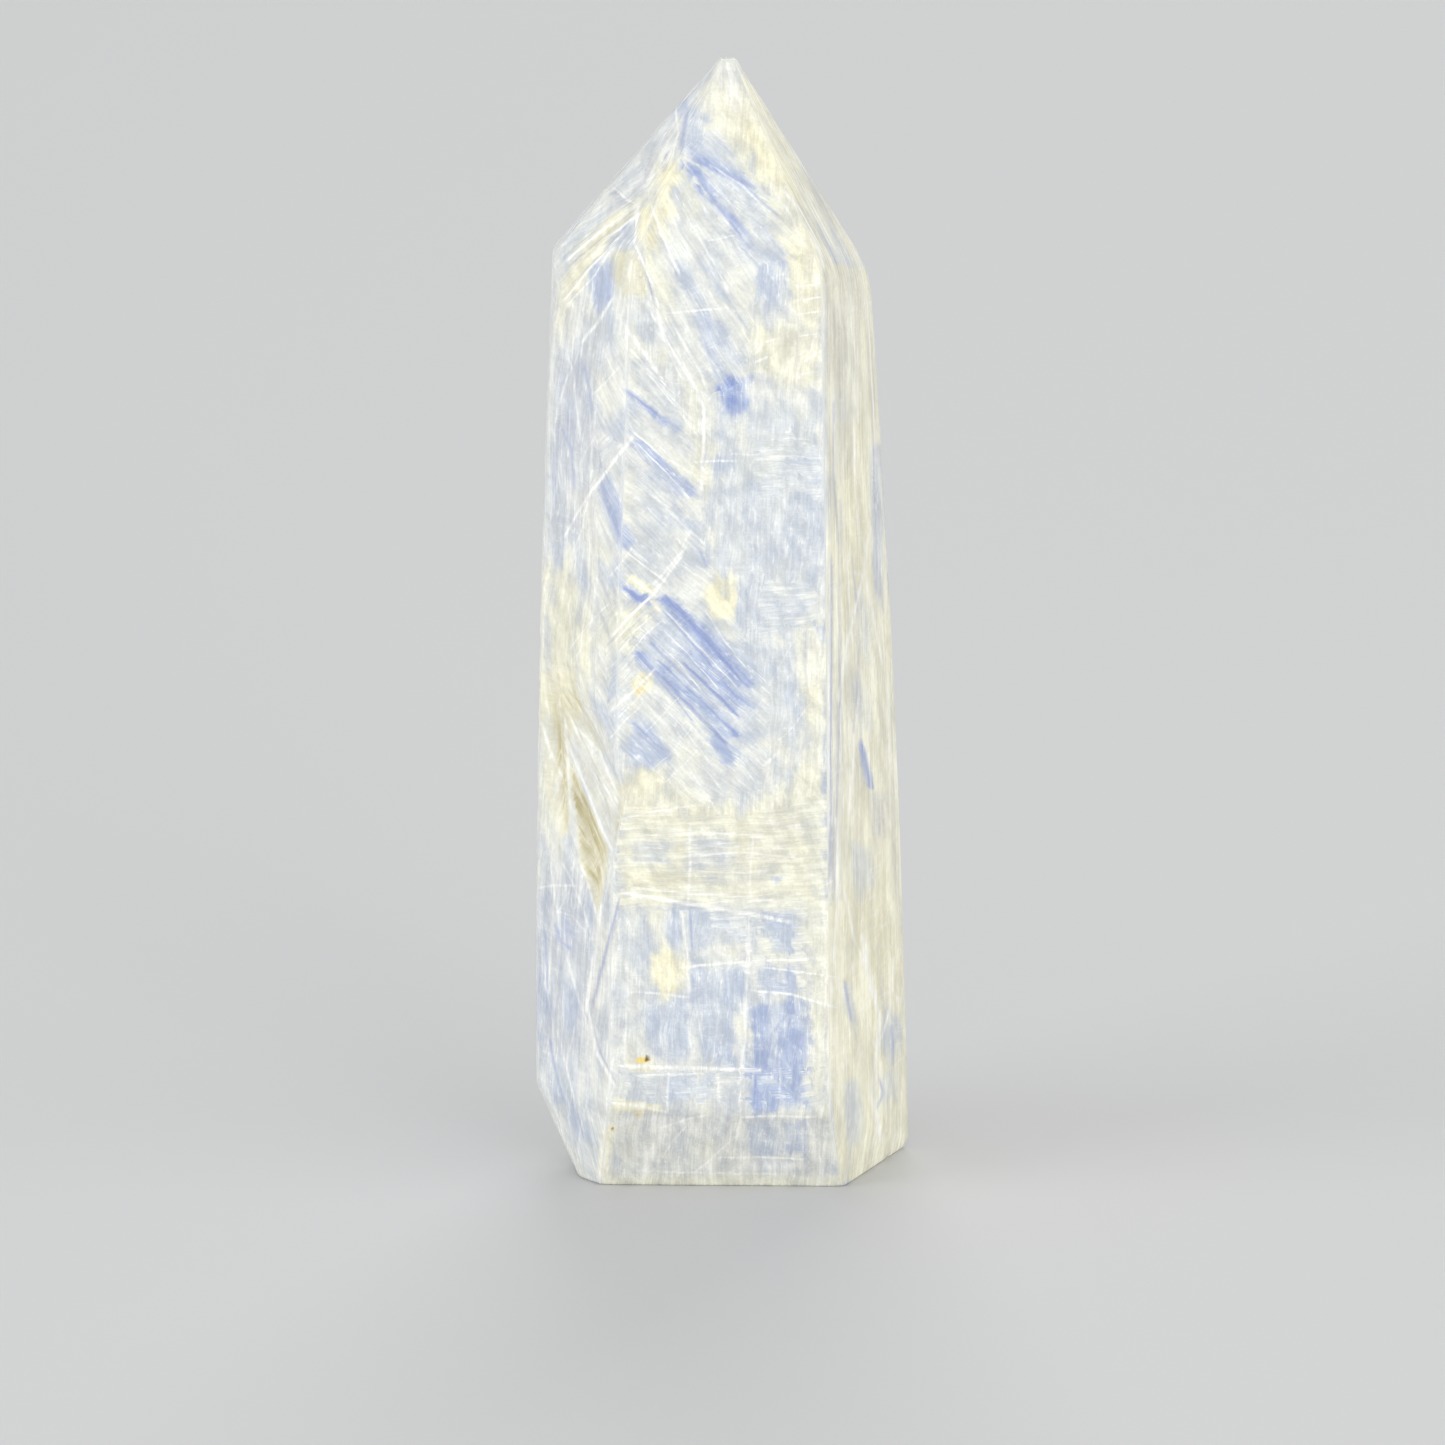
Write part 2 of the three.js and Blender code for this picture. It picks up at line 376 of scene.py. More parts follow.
@dataclass
class Tower:
    """The stone: a seven-sided polished tower with a hollow, chips and a fissure."""

    height: float = 84.4
    crown: float = 0.12  # how far the middle of a side stands out
    base_ring: float = 0.35  # the base's inner ring, as a share of the foot's outline
    tip_ring: float = 0.4  # the tip's inner ring, as a share of the tip's outline
    tip_middle: Pair = (0.9, 0.55)
    wears: tuple[float, ...] = (0.3, 0.3, 0.5, 0.5, 0.22, 0.05)  # how long the worn stretch is at each knot
    edge_wear: float = 0.45
    hollow_height: float = 30.0
    hollow_reach: float = 8.0
    hollow_rows: Pair = (20.8, 39.2)
    hollow_half: float = 9.6  # how far above and below its middle the hollow may reach
    hollow_along: Pair = (-2.0, 10.6)  # how far along the left side from the front edge
    hollow_deep: float = 2.6
    probe_height: float = 9.0
    probes: tuple[Pair, ...] = ((0.0, 0.0), (0.07, 0.04), (-0.04, 0.07), (-0.07, -0.04), (0.04, -0.07))
    side_start: float = 7.0  # the height at which the side's rows start
    lengths: tuple[float, ...] = (6.0, 7.3, 63.5, 18.5, 0.5)  # of the stretches between knots, about
    row_steps: tuple[float, ...] = (1.6, 0.34, 0.34, 0.36, 0.2)  # how far apart the rows are in each
    fine_step: float = 0.18  # how far apart the rows are at the hollow
    side_steps: tuple[float, ...] = (0.28, 0.34, 0.6, 0.62, 0.6, 0.42, 0.2)
    widest: float = 2.4  # the place at which the sides' widths are taken
    edges: dict[str, UprightEdge] = field(default_factory=lambda: EDGES)
    rails: dict[str, tuple[Point, ...]] = field(default_factory=lambda: HOLLOW_RAILS)
    ledge_seed: int = 5
    ledge_depth: float = 0.05
    ledge_shift: float = 0.25  # how far a ledge may stray, as a share of the distance to the next
    ledge_fade: float = 3.0  # how quickly the ledges come in with the hollow's depth
    view: ViewCamera = field(default_factory=ViewCamera)
    chips: dict[str, Chip] = field(default_factory=lambda: CHIPS)
    reliefs: dict[str, Relief] = field(default_factory=lambda: RELIEFS)

    def knots(self) -> Array:
        """The turning points of each upright edge.

        Returns:
            An array [knot, edge, xyz].
        """
        rows = []
        tip_middle = np.array(self.tip_middle)
        for edge in self.edges.values():
            foot, tip = np.array(edge.foot), np.array(edge.tip)
            inner_tip = tip_middle + (tip - tip_middle) * self.tip_ring
            ground = [(*(foot * self.base_ring), 0.0), (*foot, 0.0)]
            rows.append([*ground, edge.rim, edge.shoulder, (*tip, self.height), (*inner_tip, self.height)])
        return np.array(rows).transpose(1, 0, 2)

    def row_plan(self) -> list[Array]:
        """The rows of the mesh.

        Returns:
            For each stretch between two knots, its rows as fractions of it.
        """
        worn = zip(self.wears, self.wears[1:])
        plan = [stations(*stretch) for stretch in zip(self.lengths, self.row_steps, worn)]
        side, length = plan[Knot.RIM], self.lengths[Knot.RIM]
        heights = self.side_start + side * length
        low, high = self.hollow_rows
        keep = side[(heights < low) | (heights > high)]
        fine = (np.arange(low, high, self.fine_step) - self.side_start) / length
        plan[Knot.RIM] = np.sort(np.concatenate([keep, fine]))
        return plan

    def edge_lines(self) -> tuple[Array, Array]:
        """The seven upright edges with their knots worn round.

        Returns:
            The points [row, edge, xyz] and each row's place from the base (0) to the tip's middle (5).
        """
        knots = self.knots()
        outward = unit(knots * FLAT)
        bows = np.array([edge.bow for edge in self.edges.values()])[:, None]
        lengths = np.linalg.norm(np.diff(knots, axis=0), axis=-1)
        worn = np.repeat(np.array(self.wears)[:, None], len(self.edges), axis=1)
        worn[Knot.SHOULDER] = [edge.shoulder_wear for edge in self.edges.values()]
        points, places = [], []
        for stretch, fractions in enumerate(self.row_plan()):
            start, end = knots[stretch], knots[stretch + 1]
            for fraction in fractions:
                point = start + (end - start) * fraction
                if stretch == Knot.RIM:
                    point = point + outward[stretch] * bows * 4.0 * fraction * (1.0 - fraction)
                for knot in (stretch, stretch + 1):
                    if Knot.BASE < knot < Knot.TIP_MIDDLE:
                        away = (fraction if knot == stretch else 1.0 - fraction) * lengths[stretch]
                        ahead, back = knots[knot + 1] - knots[knot], knots[knot - 1] - knots[knot]
                        point = point + worn_move(ahead, back, worn[knot], away)
                points.append(point)
                places.append(stretch + fraction)
        points.append(knots[-1])
        places.append(float(Knot.TIP_MIDDLE))
        return np.array(points), np.array(places)

    def column_plan(self, lines: Array, places: Array) -> list[Array]:
        """The columns of the mesh.

        Args:
            lines: The upright edges' points [row, edge, xyz].
            places: Each row's place.

        Returns:
            For each side, its columns as fractions of the side's width.
        """
        middle = lines[np.argmin(np.abs(places - self.widest))]
        widths = np.linalg.norm(np.roll(middle, -1, axis=0) - middle, axis=-1)
        worn = (self.edge_wear, self.edge_wear)
        return [stations(width, step, worn) for width, step in zip(widths, self.side_steps)]

    def skin(self) -> tuple[Array, Array, Array]:
        """The polished outside before any damage.

        Returns:
            The points [row, column, xyz], each row's place, and each column's side and fraction [column, 2].
        """
        lines, places = self.edge_lines()
        count = lines.shape[1]
        swell = np.clip(np.minimum(places - Knot.FOOT, Knot.TIP - places), 0.0, 1.0)
        columns, marks = [], []
        for side, fractions in enumerate(self.column_plan(lines, places)):
            before, here = lines[:, side - 1], lines[:, side]
            there, beyond = lines[:, (side + 1) % count], lines[:, (side + 2) % count]
            width = np.linalg.norm(there - here, axis=-1)
            out = unit(np.cross(there - here, np.array([0.0, 0.0, 1.0])))
            wear = list(self.edges.values())[side].wear
            for fraction in fractions:
                point = here + (there - here) * fraction
                point = point + worn_move(there - here, before - here, wear, fraction * width)
                point = point + worn_move(here - there, beyond - there, wear, (1.0 - fraction) * width)
                bulge = self.crown * 4.0 * fraction * (1.0 - fraction) * swell
                columns.append(point + out * bulge[:, None])
                marks.append((side, fraction))
        return np.ascontiguousarray(np.array(columns).transpose(1, 0, 2)), places, np.array(marks)

    def left_facet(self) -> tuple[Array, Array, Array, Array]:
        """The left side's own frame at the hollow.

        Returns:
            Its origin, and the directions along it, up it and out of it.
        """
        front, rear = self.edges["front_left"], self.edges["left"]
        origin = self.bowed(front, self.hollow_height)
        up = self.bowed(front, self.hollow_height + self.hollow_reach)
        up = unit(up - self.bowed(front, self.hollow_height - self.hollow_reach))
        along = self.bowed(rear, self.hollow_height) - origin
        along = unit(along - up * (along @ up))
        return origin, along, up, np.cross(up, along)

    @staticmethod
    def bowed(edge: UprightEdge, height: float) -> Array:
        """The point of an upright edge at a height between its rim and its shoulder.

        Args:
            edge: The edge.
            height: The height, by which the share of the way is taken.

        Returns:
            The point.
        """
        rim, shoulder = np.array(edge.rim), np.array(edge.shoulder)
        fraction = (height - rim[2]) / (shoulder[2] - rim[2])
        point = rim + (shoulder - rim) * fraction
        return point + unit(point * FLAT) * edge.bow * 4.0 * fraction * (1.0 - fraction)

    def hollow_lines(self) -> list[Array]:
        """The hollow's rails in the left side's frame.

        Returns:
            For each rail its knots [knot, (along, up, depth)].
        """
        origin, along_way, up_way, out = self.left_facet()
        eye = self.view.position() - CENTRING
        lines = []
        for rail in self.rails.values():
            line = []
            for across, down, depth in rail:
                way = self.view.ray((across, down))
                place = eye + way * (((origin - out * depth - eye) @ out) / (way @ out)) - origin
                line.append((place @ along_way, place @ up_way, depth))
            lines.append(np.array(line))
        return lines

    def hollow_sheet(self) -> BVHTree:
        """The hollow's faces from rail to rail, with the narrow ledges between them.

        Returns:
            The faces, in the left side's frame (along, up, depth).
        """
        lines = self.hollow_lines()
        chance = np.random.default_rng(self.ledge_seed)
        sheet = [lines[0]]
        for before, after, count in zip(lines, lines[1:], LEDGES):
            for step in range(1, count):
                stray = step + chance.uniform(-self.ledge_shift, self.ledge_shift)
                ledge = before + (after - before) * stray / count
                rise = chance.uniform(-1.0, 1.0, len(ledge)) * self.ledge_depth
                ledge[:, 2] += rise * np.minimum(ledge[:, 2] * self.ledge_fade, 1.0)
                sheet.append(ledge)
            sheet.append(after)
        length = len(sheet[0])
        faces = [
            (first, first + length, first + length + 1, first + 1)
            for first in range((len(sheet) - 1) * length)
            if (first + 1) % length
        ]
        return BVHTree.FromPolygons(np.concatenate(sheet).tolist(), faces)

    def hollow_depth(self, along: Array, up: Array) -> Array:
        """How deep the hollow is at places on the left side.

        Args:
            along: Distances from the front edge.
            up: Heights above the hollow's middle.

        Returns:
            The depths below the left side's plane, or 0 where it is whole.
        """
        sheet = self.hollow_sheet()
        depth = np.zeros(along.shape)
        down = Vector((0.0, 0.0, -1.0))
        for index in range(len(along)):
            for aside, above in self.probes:
                start = Vector((along[index] + aside, up[index] + above, self.probe_height))
                hit = sheet.ray_cast(start, down)[0]
                depth[index] += max(hit.z, 0.0) / len(self.probes) if hit is not None else 0.0
        return depth

    def carve_hollow(self, points: Array, marks: Array) -> Array:
        """Sinks the hollow into the left side.

        Args:
            points: The skin's points [row, column, xyz], changed in place.
            marks: Each column's side and fraction.

        Returns:
            How far each point went in [row, column].
        """
        origin, along_way, up_way, out = self.left_facet()
        flat = points.reshape(-1, 3)
        offset = flat - origin
        along, up, depth = offset @ along_way, offset @ up_way, -(offset @ out)
        beside = np.broadcast_to(np.isin(marks[:, 0], HOLLOW_SIDES), points.shape[:2]).reshape(-1)
        first, last = self.hollow_along
        near = (np.abs(up) < self.hollow_half) & (along > first) & (along < last) & (depth < self.hollow_deep)
        where = np.flatnonzero(beside & near)
        sunk = np.maximum(self.hollow_depth(along[where], up[where]) - depth[where], 0.0)
        flat[where] -= out * sunk[:, None]
        depths = np.zeros(len(flat))
        depths[where] = sunk
        return depths.reshape(points.shape[:2])

    def carve_chips(self, points: Array) -> None:
        """Breaks the chips out of the outer edges.

        Args:
            points: The skin's points [row, column, xyz], changed in place.
        """
        for chip in self.chips.values():
            outward = unit(np.array(chip.outward))
            offset = points - np.array(chip.deep)
            height = offset @ outward
            aside = np.linalg.norm(offset - height[..., None] * outward, axis=-1)
            over = height - aside * chip.slope
            near = (over > 0.0) & (aside < chip.reach)
            points[near] -= outward * over[near][:, None]

    def carve_reliefs(self, points: Array, marks: Array) -> None:
        """Raises and sinks the streaks on the front sides.

        Args:
            points: The skin's points [row, column, xyz], changed in place.
            marks: Each column's side and fraction.
        """
        front = np.isin(marks[:, 0], FRONT_SIDES)
        upward, aside = np.gradient(points, axis=0), np.gradient(points, axis=1)
        out = unit(np.cross(aside, upward))
        places = self.view.places(points + CENTRING)
        for relief in self.reliefs.values():
            nearest = np.full(points.shape[:2], np.inf)
            corners = np.array(relief.places, dtype=float)
            for start, end in zip(corners, corners[1:]):
                nearest = np.minimum(nearest, segment_gap(places, start, end))
            rise = smooth_step(relief.width, 0.0, nearest) * relief.rise * front
            points += out * rise[..., None]

    def build(self) -> "StoneGrid":
        """Makes the stone's mesh.

        Returns:
            The stone with what its finish needs to know of each grid point.
        """
        points, places, marks = self.skin()
        whole = points.copy()
        sunk = self.carve_hollow(points, marks)
        self.carve_chips(points)
        self.carve_reliefs(points, marks)
        stone = self.mesh(points + CENTRING)
        return StoneGrid(stone, whole, points, places, marks, sunk)

    def mesh(self, points: Array) -> bpy.types.Object:
        """Joins the rows and columns into one closed mesh, with a flat base and tip.

        Args:
            points: The points [row, column, xyz], in millimetres.

        Returns:
            The stone.
        """
        rows, columns = points.shape[:2]
        tip = np.array([*self.tip_middle, self.height]) + CENTRING
        verts = np.concatenate([points.reshape(-1, 3), [CENTRING, tip]])
        ring = np.arange(columns)
        after = (ring + 1) % columns
        quads = np.stack([ring, after, after + columns, ring + columns], axis=-1)
        quads = (quads[None] + columns * np.arange(rows - 1)[:, None, None]).reshape(-1, 4)
        base_fan = np.stack([np.full(columns, rows * columns), after, ring], axis=-1)
        top = (rows - 1) * columns
        tip_fan = np.stack([np.full(columns, rows * columns + 1), top + ring, top + after], axis=-1)
        data = bpy.data.meshes.new(PIECE)
        data.from_pydata((verts * MM).tolist(), [], quads.tolist() + base_fan.tolist() + tip_fan.tolist())
        data.validate()
        data.shade_smooth()
        return placed(PIECE, data)


@dataclass
class StoneGrid:
    """The stone's mesh, and its grid of points before and after any damage.

    The points are [row, column, xyz]. A row's place counts knots from the base's middle (0) to the tip's (5).
    A column's mark is its side and its fraction of the side's width.
    """

    stone: bpy.types.Object
    points: Array
    carved: Array
    rows: Array
    columns: Array
    sunk: Array

    def front(self) -> Array:
        """Which columns are on a side that the camera sees."""
        return np.isin(self.columns[:, 0], FRONT_SIDES)

    def starts(self) -> Array:
        """The first column of each side, which stands on an upright edge."""
        return np.flatnonzero(self.columns[:, 1] == 0.0)

    def store(self, name: str, *parts: Array) -> None:
        """Keeps three numbers per grid point on the mesh, for the finish to read.

        Args:
            name: The name under which the finish reads them.
            parts: The numbers, each for all grid points in turn, or all three at once as [..., 3].
        """
        values = parts[0] if len(parts) == 1 else np.stack(parts, axis=-1)
        flat = values.reshape(-1, 3)
        data = self.stone.data
        full = np.concatenate([flat, flat[:1], flat[-1:]]).astype(np.float32)  # the base's middle and the tip's
        attribute = data.attributes.new(name, "FLOAT_VECTOR", "POINT")
        attribute.data.foreach_set("vector", full.reshape(-1))


# ---------------------------------------- markings


@dataclass(frozen=True)
class Patch:
    """A coloured area: its outline in view places, how full its colour is and how softly it ends."""

    outline: tuple[ViewPlace, ...]
    strength: float = 1.0
    soft: float = 6.0

    def ragged(self) -> float:
        """How far from its outline the finish may fray it."""
        return self.soft if self.soft < SHARP else FRAY_SCALE * self.soft + FRAY_MORE

    def inside(self, places: Array) -> Array:
        """How far places are inside the outline.

        Args:
            places: View places [count, 2].

        Returns:
            Distances from the outline, below zero outside it.
        """
        nearest = np.full(len(places), np.inf)
        within = np.zeros(len(places), dtype=bool)
        corners = np.array(self.outline, dtype=float)
        for start, end in zip(corners, np.roll(corners, -1, axis=0)):
            way, offset = end - start, places - start
            nearest = np.minimum(nearest, segment_gap(places, start, end))
            crosses = (start[1] > places[:, 1]) != (end[1] > places[:, 1])
            rise = way[1] if way[1] else 1.0
            within ^= crosses & (offset[:, 0] < way[0] * offset[:, 1] / rise)
        return np.where(within, nearest, -nearest)


@dataclass(frozen=True)
class Thread:
    """A thin line: the view places it joins, its width in view units and how full its colour is."""

    places: tuple[ViewPlace, ...]
    width: float
    strength: float

    def gap(self, other: "Thread") -> float:
        """The smallest distance between two threads, in view units."""
        mine, theirs = self.dense(), other.dense()
        return float(np.min(np.linalg.norm(mine[:, None] - theirs[None], axis=-1)))

    def dense(self, count: int = 12) -> Array:
        """Places close together all along the thread, so many between one corner and the next."""
        corners, shares = np.array(self.places, dtype=float), np.linspace(0, 1, count)[:, None]
        return np.concatenate([start + (end - start) * shares for start, end in zip(corners, corners[1:])])


def joined(numbers: tuple[float, ...]) -> tuple[ViewPlace, ...]:
    """Numbers across and down in turn, as view places."""
    return tuple(zip(numbers[::2], numbers[1::2]))


def line(width: float, strength: float, *numbers: float) -> Thread:
    """A thread through the view places whose numbers across and down follow in turn."""
    return Thread(joined(numbers), width, strength)


def area(strength: float, soft: float, *numbers: float) -> Patch:
    """A patch with corners at the view places whose numbers across and down follow in turn."""
    return Patch(joined(numbers), strength, soft)


def blade(*numbers: float) -> Patch:
    """A long narrow patch with slanted ends.

    Args:
        numbers: Across and down where the middle of one end is, the same for the other end, the width, the
            strength and, if need be, the softness.

    Returns:
        The patch.
    """
    first, last = np.array(numbers[:2], dtype=float), np.array(numbers[2:4], dtype=float)
    width, strength, soft = (*numbers[4:], BLADE_SOFT)[:3]
    way = (last - first) / np.linalg.norm(last - first)
    aside = np.array([-way[1], way[0]]) * width / 2
    slant = way * width * BLADE_SLANT
    corners = (first + aside - slant, last + aside - slant, last - aside + slant, first - aside + slant)
    return Patch(tuple((float(c[0]), float(c[1])) for c in corners), strength, soft)


def box(left: float, top: float, right: float, bottom: float, strength: float, soft: float = 5.0) -> Patch:
    """An upright rectangular patch."""
    return area(strength, soft, left, top, right, top, right, bottom, left, bottom)


BLUE_PATCHES: dict[str, tuple[Patch, ...]] = {
    # pyramid
    "tip_wedge": (area(0.55, 5, 684, 104, 712, 116, 702, 150, 686, 158, 679, 142),),
    "fan_haze": (area(0.3, 12, 688, 132, 735, 150, 792, 205, 802, 240, 762, 246, 716, 196),),
    "upper": (
        area(0.95, 4, 686, 154, 716, 160, 752, 178, 770, 196, 742, 188, 708, 172),
        blade(756, 184, 778, 206, 16, 0.5),
    ),
    "lower": (
        area(0.85, 4, 687, 162, 704, 172, 735, 205, 752, 238, 732, 224, 700, 192),
        blade(738, 222, 750, 266, 16, 0.42, 7),
    ),
    "fan_foot": (area(0.42, 9, 752, 262, 780, 252, 794, 284, 782, 300, 758, 290),),
    "left": (
        area(0.34, 3, 637, 214, 637, 247, 620, 253, 603, 251, 612, 238), blade(562, 252, 604, 208, 16, 0.3, 6),
        area(0.6, 5, 584, 272, 596, 256, 613, 268, 612, 304, 600, 312, 588, 300),
    ),
    "fan": (
        blade(684, 258, 694, 296, 12, 0.38), blade(706, 262, 722, 300, 10, 0.35),
    ),
    "right_cap": (blade(828, 228, 852, 270, 12, 0.25, 5),),
    # upper half of the front
    "upper_streak": (
        area(0.42, 5, 694, 312, 708, 314, 718, 350, 724, 380, 713, 380, 704, 352),
        blade(716, 322, 736, 366, 8, 0.4), area(0.85, 4, 722, 380, 748, 379, 751, 413, 736, 417, 722, 412),
        blade(724, 384, 741, 404, 14, 1, 2), blade(726, 408, 720, 436, 12, 0.2, 6),
    ),
    "level_patch": (area(0.55, 4, 706, 459, 730, 452, 734, 472, 714, 481),),
    "thin": (
        blade(627, 391, 668, 424, 5, 0.7, 3), blade(664, 416, 682, 430, 9, 0.5, 3),
    ),
    "long": (
        blade(636, 441, 690, 495, 13, 0.62, 3), blade(655, 470, 684, 499, 16, 0.5, 4),
    ),
    "edge": (
        area(0.6, 5, 598, 484, 610, 478, 618, 500, 624, 528, 632, 540, 620, 552, 610, 536),
        blade(606, 560, 618, 590, 18, 0.55, 5),
    ),
    "haze": (
        blade(612, 312, 598, 372, 18, 0.33, 6), blade(640, 396, 606, 440, 16, 0.3, 8),
        blade(686, 520, 712, 566, 20, 0.4, 6), blade(650, 504, 676, 530, 14, 0.3, 5),
    ),
    "right": (
        blade(816, 466, 826, 572, 15, 0.45, 5), blade(800, 424, 814, 470, 9, 0.26, 5),
    ),
    "scratch_field": (blade(744, 560, 806, 540, 26, 0.22, 10),),
    "level": (
        blade(762, 606, 814, 604, 20, 0.42, 5), blade(764, 612, 800, 600, 6, 0.5, 3),
    ),
    "right_spot": (blade(818, 624, 824, 644, 10, 0.6, 3),),
    "field_right": (box(736, 640, 800, 744, 0.3, 10),),
    "linen": (
        area(0.25, 10, 742, 410, 826, 404, 828, 560, 800, 640, 744, 640, 716, 560, 712, 500),
        area(0.4, 7, 770, 520, 816, 512, 812, 560, 776, 566),
    ),
    # the large bladed block
    "main": (
        area(0.42, 4, 663, 592, 700, 618, 740, 654, 755, 690, 741, 696, 733, 744, 706, 730, 634, 658, 650, 648),
        blade(664, 597, 748, 686, 17, 1, 3), blade(684, 650, 746, 710, 18, 0.95, 4),
        blade(660, 664, 734, 738, 14, 1, 3), blade(706, 724, 736, 762, 18, 0.7, 5),
        blade(636, 652, 652, 664, 9, 0.85, 3),
    ),
    "block": (
        blade(626, 586, 650, 603, 11, 0.85, 3), blade(648, 664, 690, 718, 10, 0.55, 4),
    ),
    "lower_left": (
        area(0.55, 5, 630, 722, 640, 712, 660, 728, 668, 756, 650, 768, 628, 756),
        blade(640, 722, 660, 744, 6, 0.6, 2),
    ),
    "left_haze": (blade(596, 652, 620, 700, 22, 0.36, 8),),
    "lower_haze": (blade(600, 704, 626, 726, 20, 0.3, 8),),
    # lower half of the front
    "row": (
        box(659, 911, 684, 946, 0.4), area(0.38, 5, 688, 910, 722, 918, 748, 930, 752, 946, 690, 950),
        box(769, 916, 791, 954, 0.45), area(0.75, 3, 768, 878, 786, 874, 776, 890),
        box(764, 966, 794, 996, 0.5),
        area(0.5, 5, 689, 966, 745, 966, 738, 1006, 732, 1066, 700, 1052, 688, 1000),
        area(0.4, 6, 642, 1004, 690, 998, 697, 1052, 664, 1060, 648, 1040),
        area(0.66, 5, 752, 1010, 770, 1002, 806, 1000, 814, 1040, 806, 1078, 812, 1108, 752, 1112, 748, 1060),
        area(0.7, 5, 760, 1034, 780, 1006, 798, 1006, 800, 1030, 776, 1052, 764, 1104, 752, 1100),
        box(667, 1077, 712, 1099, 0.42, 4),
    ),
    "foot": (
        area(0.42, 5, 742, 1124, 806, 1120, 804, 1152, 750, 1156), box(780, 1122, 805, 1153, 0.75, 4),
        box(744, 1162, 790, 1170, 0.35, 4),
    ),
    "grid": (
        box(634, 840, 668, 864, 0.5, 6), box(690, 836, 730, 866, 0.5, 6),
    ),
    "left_grid": (box(614, 915, 650, 990, 0.2, 9),),
    # left side
    "side": (
        blade(582, 362, 594, 412, 14, 0.45, 5), blade(567, 396, 576, 484, 18, 0.45, 6),
        blade(569, 336, 562, 400, 9, 0.42, 4), blade(570, 516, 576, 580, 12, 0.5, 4),
        blade(556, 430, 552, 560, 10, 0.3, 5), box(546, 330, 600, 560, 0.05, 16),
        area(0.85, 4, 552, 926, 566, 916, 576, 930, 572, 948, 560, 944), blade(546, 930, 548, 1010, 12, 0.5, 5),
        area(0.66, 5, 556, 1000, 570, 984, 584, 1000, 580, 1030, 562, 1036),
        blade(548, 1034, 562, 1104, 16, 0.6, 4), blade(568, 1060, 580, 1130, 13, 0.42, 4),
        blade(574, 1106, 586, 1140, 14, 0.42, 4), box(538, 898, 590, 1100, 0.3, 14),
    ),
    # right side
    "right_edge": (
        area(0.62, 4, 868, 445, 884, 445, 888, 560, 884, 612, 872, 560),
        area(0.45, 5, 824, 472, 834, 472, 836, 900, 828, 900),
        area(0.55, 4, 860, 590, 868, 600, 873, 640, 870, 672, 862, 650),
        area(0.42, 5, 860, 682, 870, 690, 872, 730, 862, 735),
        area(0.5, 5, 853, 842, 868, 850, 873, 880, 862, 898, 852, 870), blade(862, 744, 871, 788, 7, 0.85, 3),
        area(0.3, 5, 828, 392, 850, 396, 852, 420, 830, 424), blade(845, 984, 850, 1016, 9, 0.5, 4),
        area(0.6, 4, 889, 1008, 898, 1020, 897, 1050, 890, 1063, 885, 1040),
        area(0.52, 5, 880, 1075, 894, 1068, 895, 1095, 884, 1109, 877, 1096),
        area(0.55, 5, 846, 1085, 858, 1080, 866, 1110, 863, 1147, 852, 1142, 845, 1110),
    ),
}

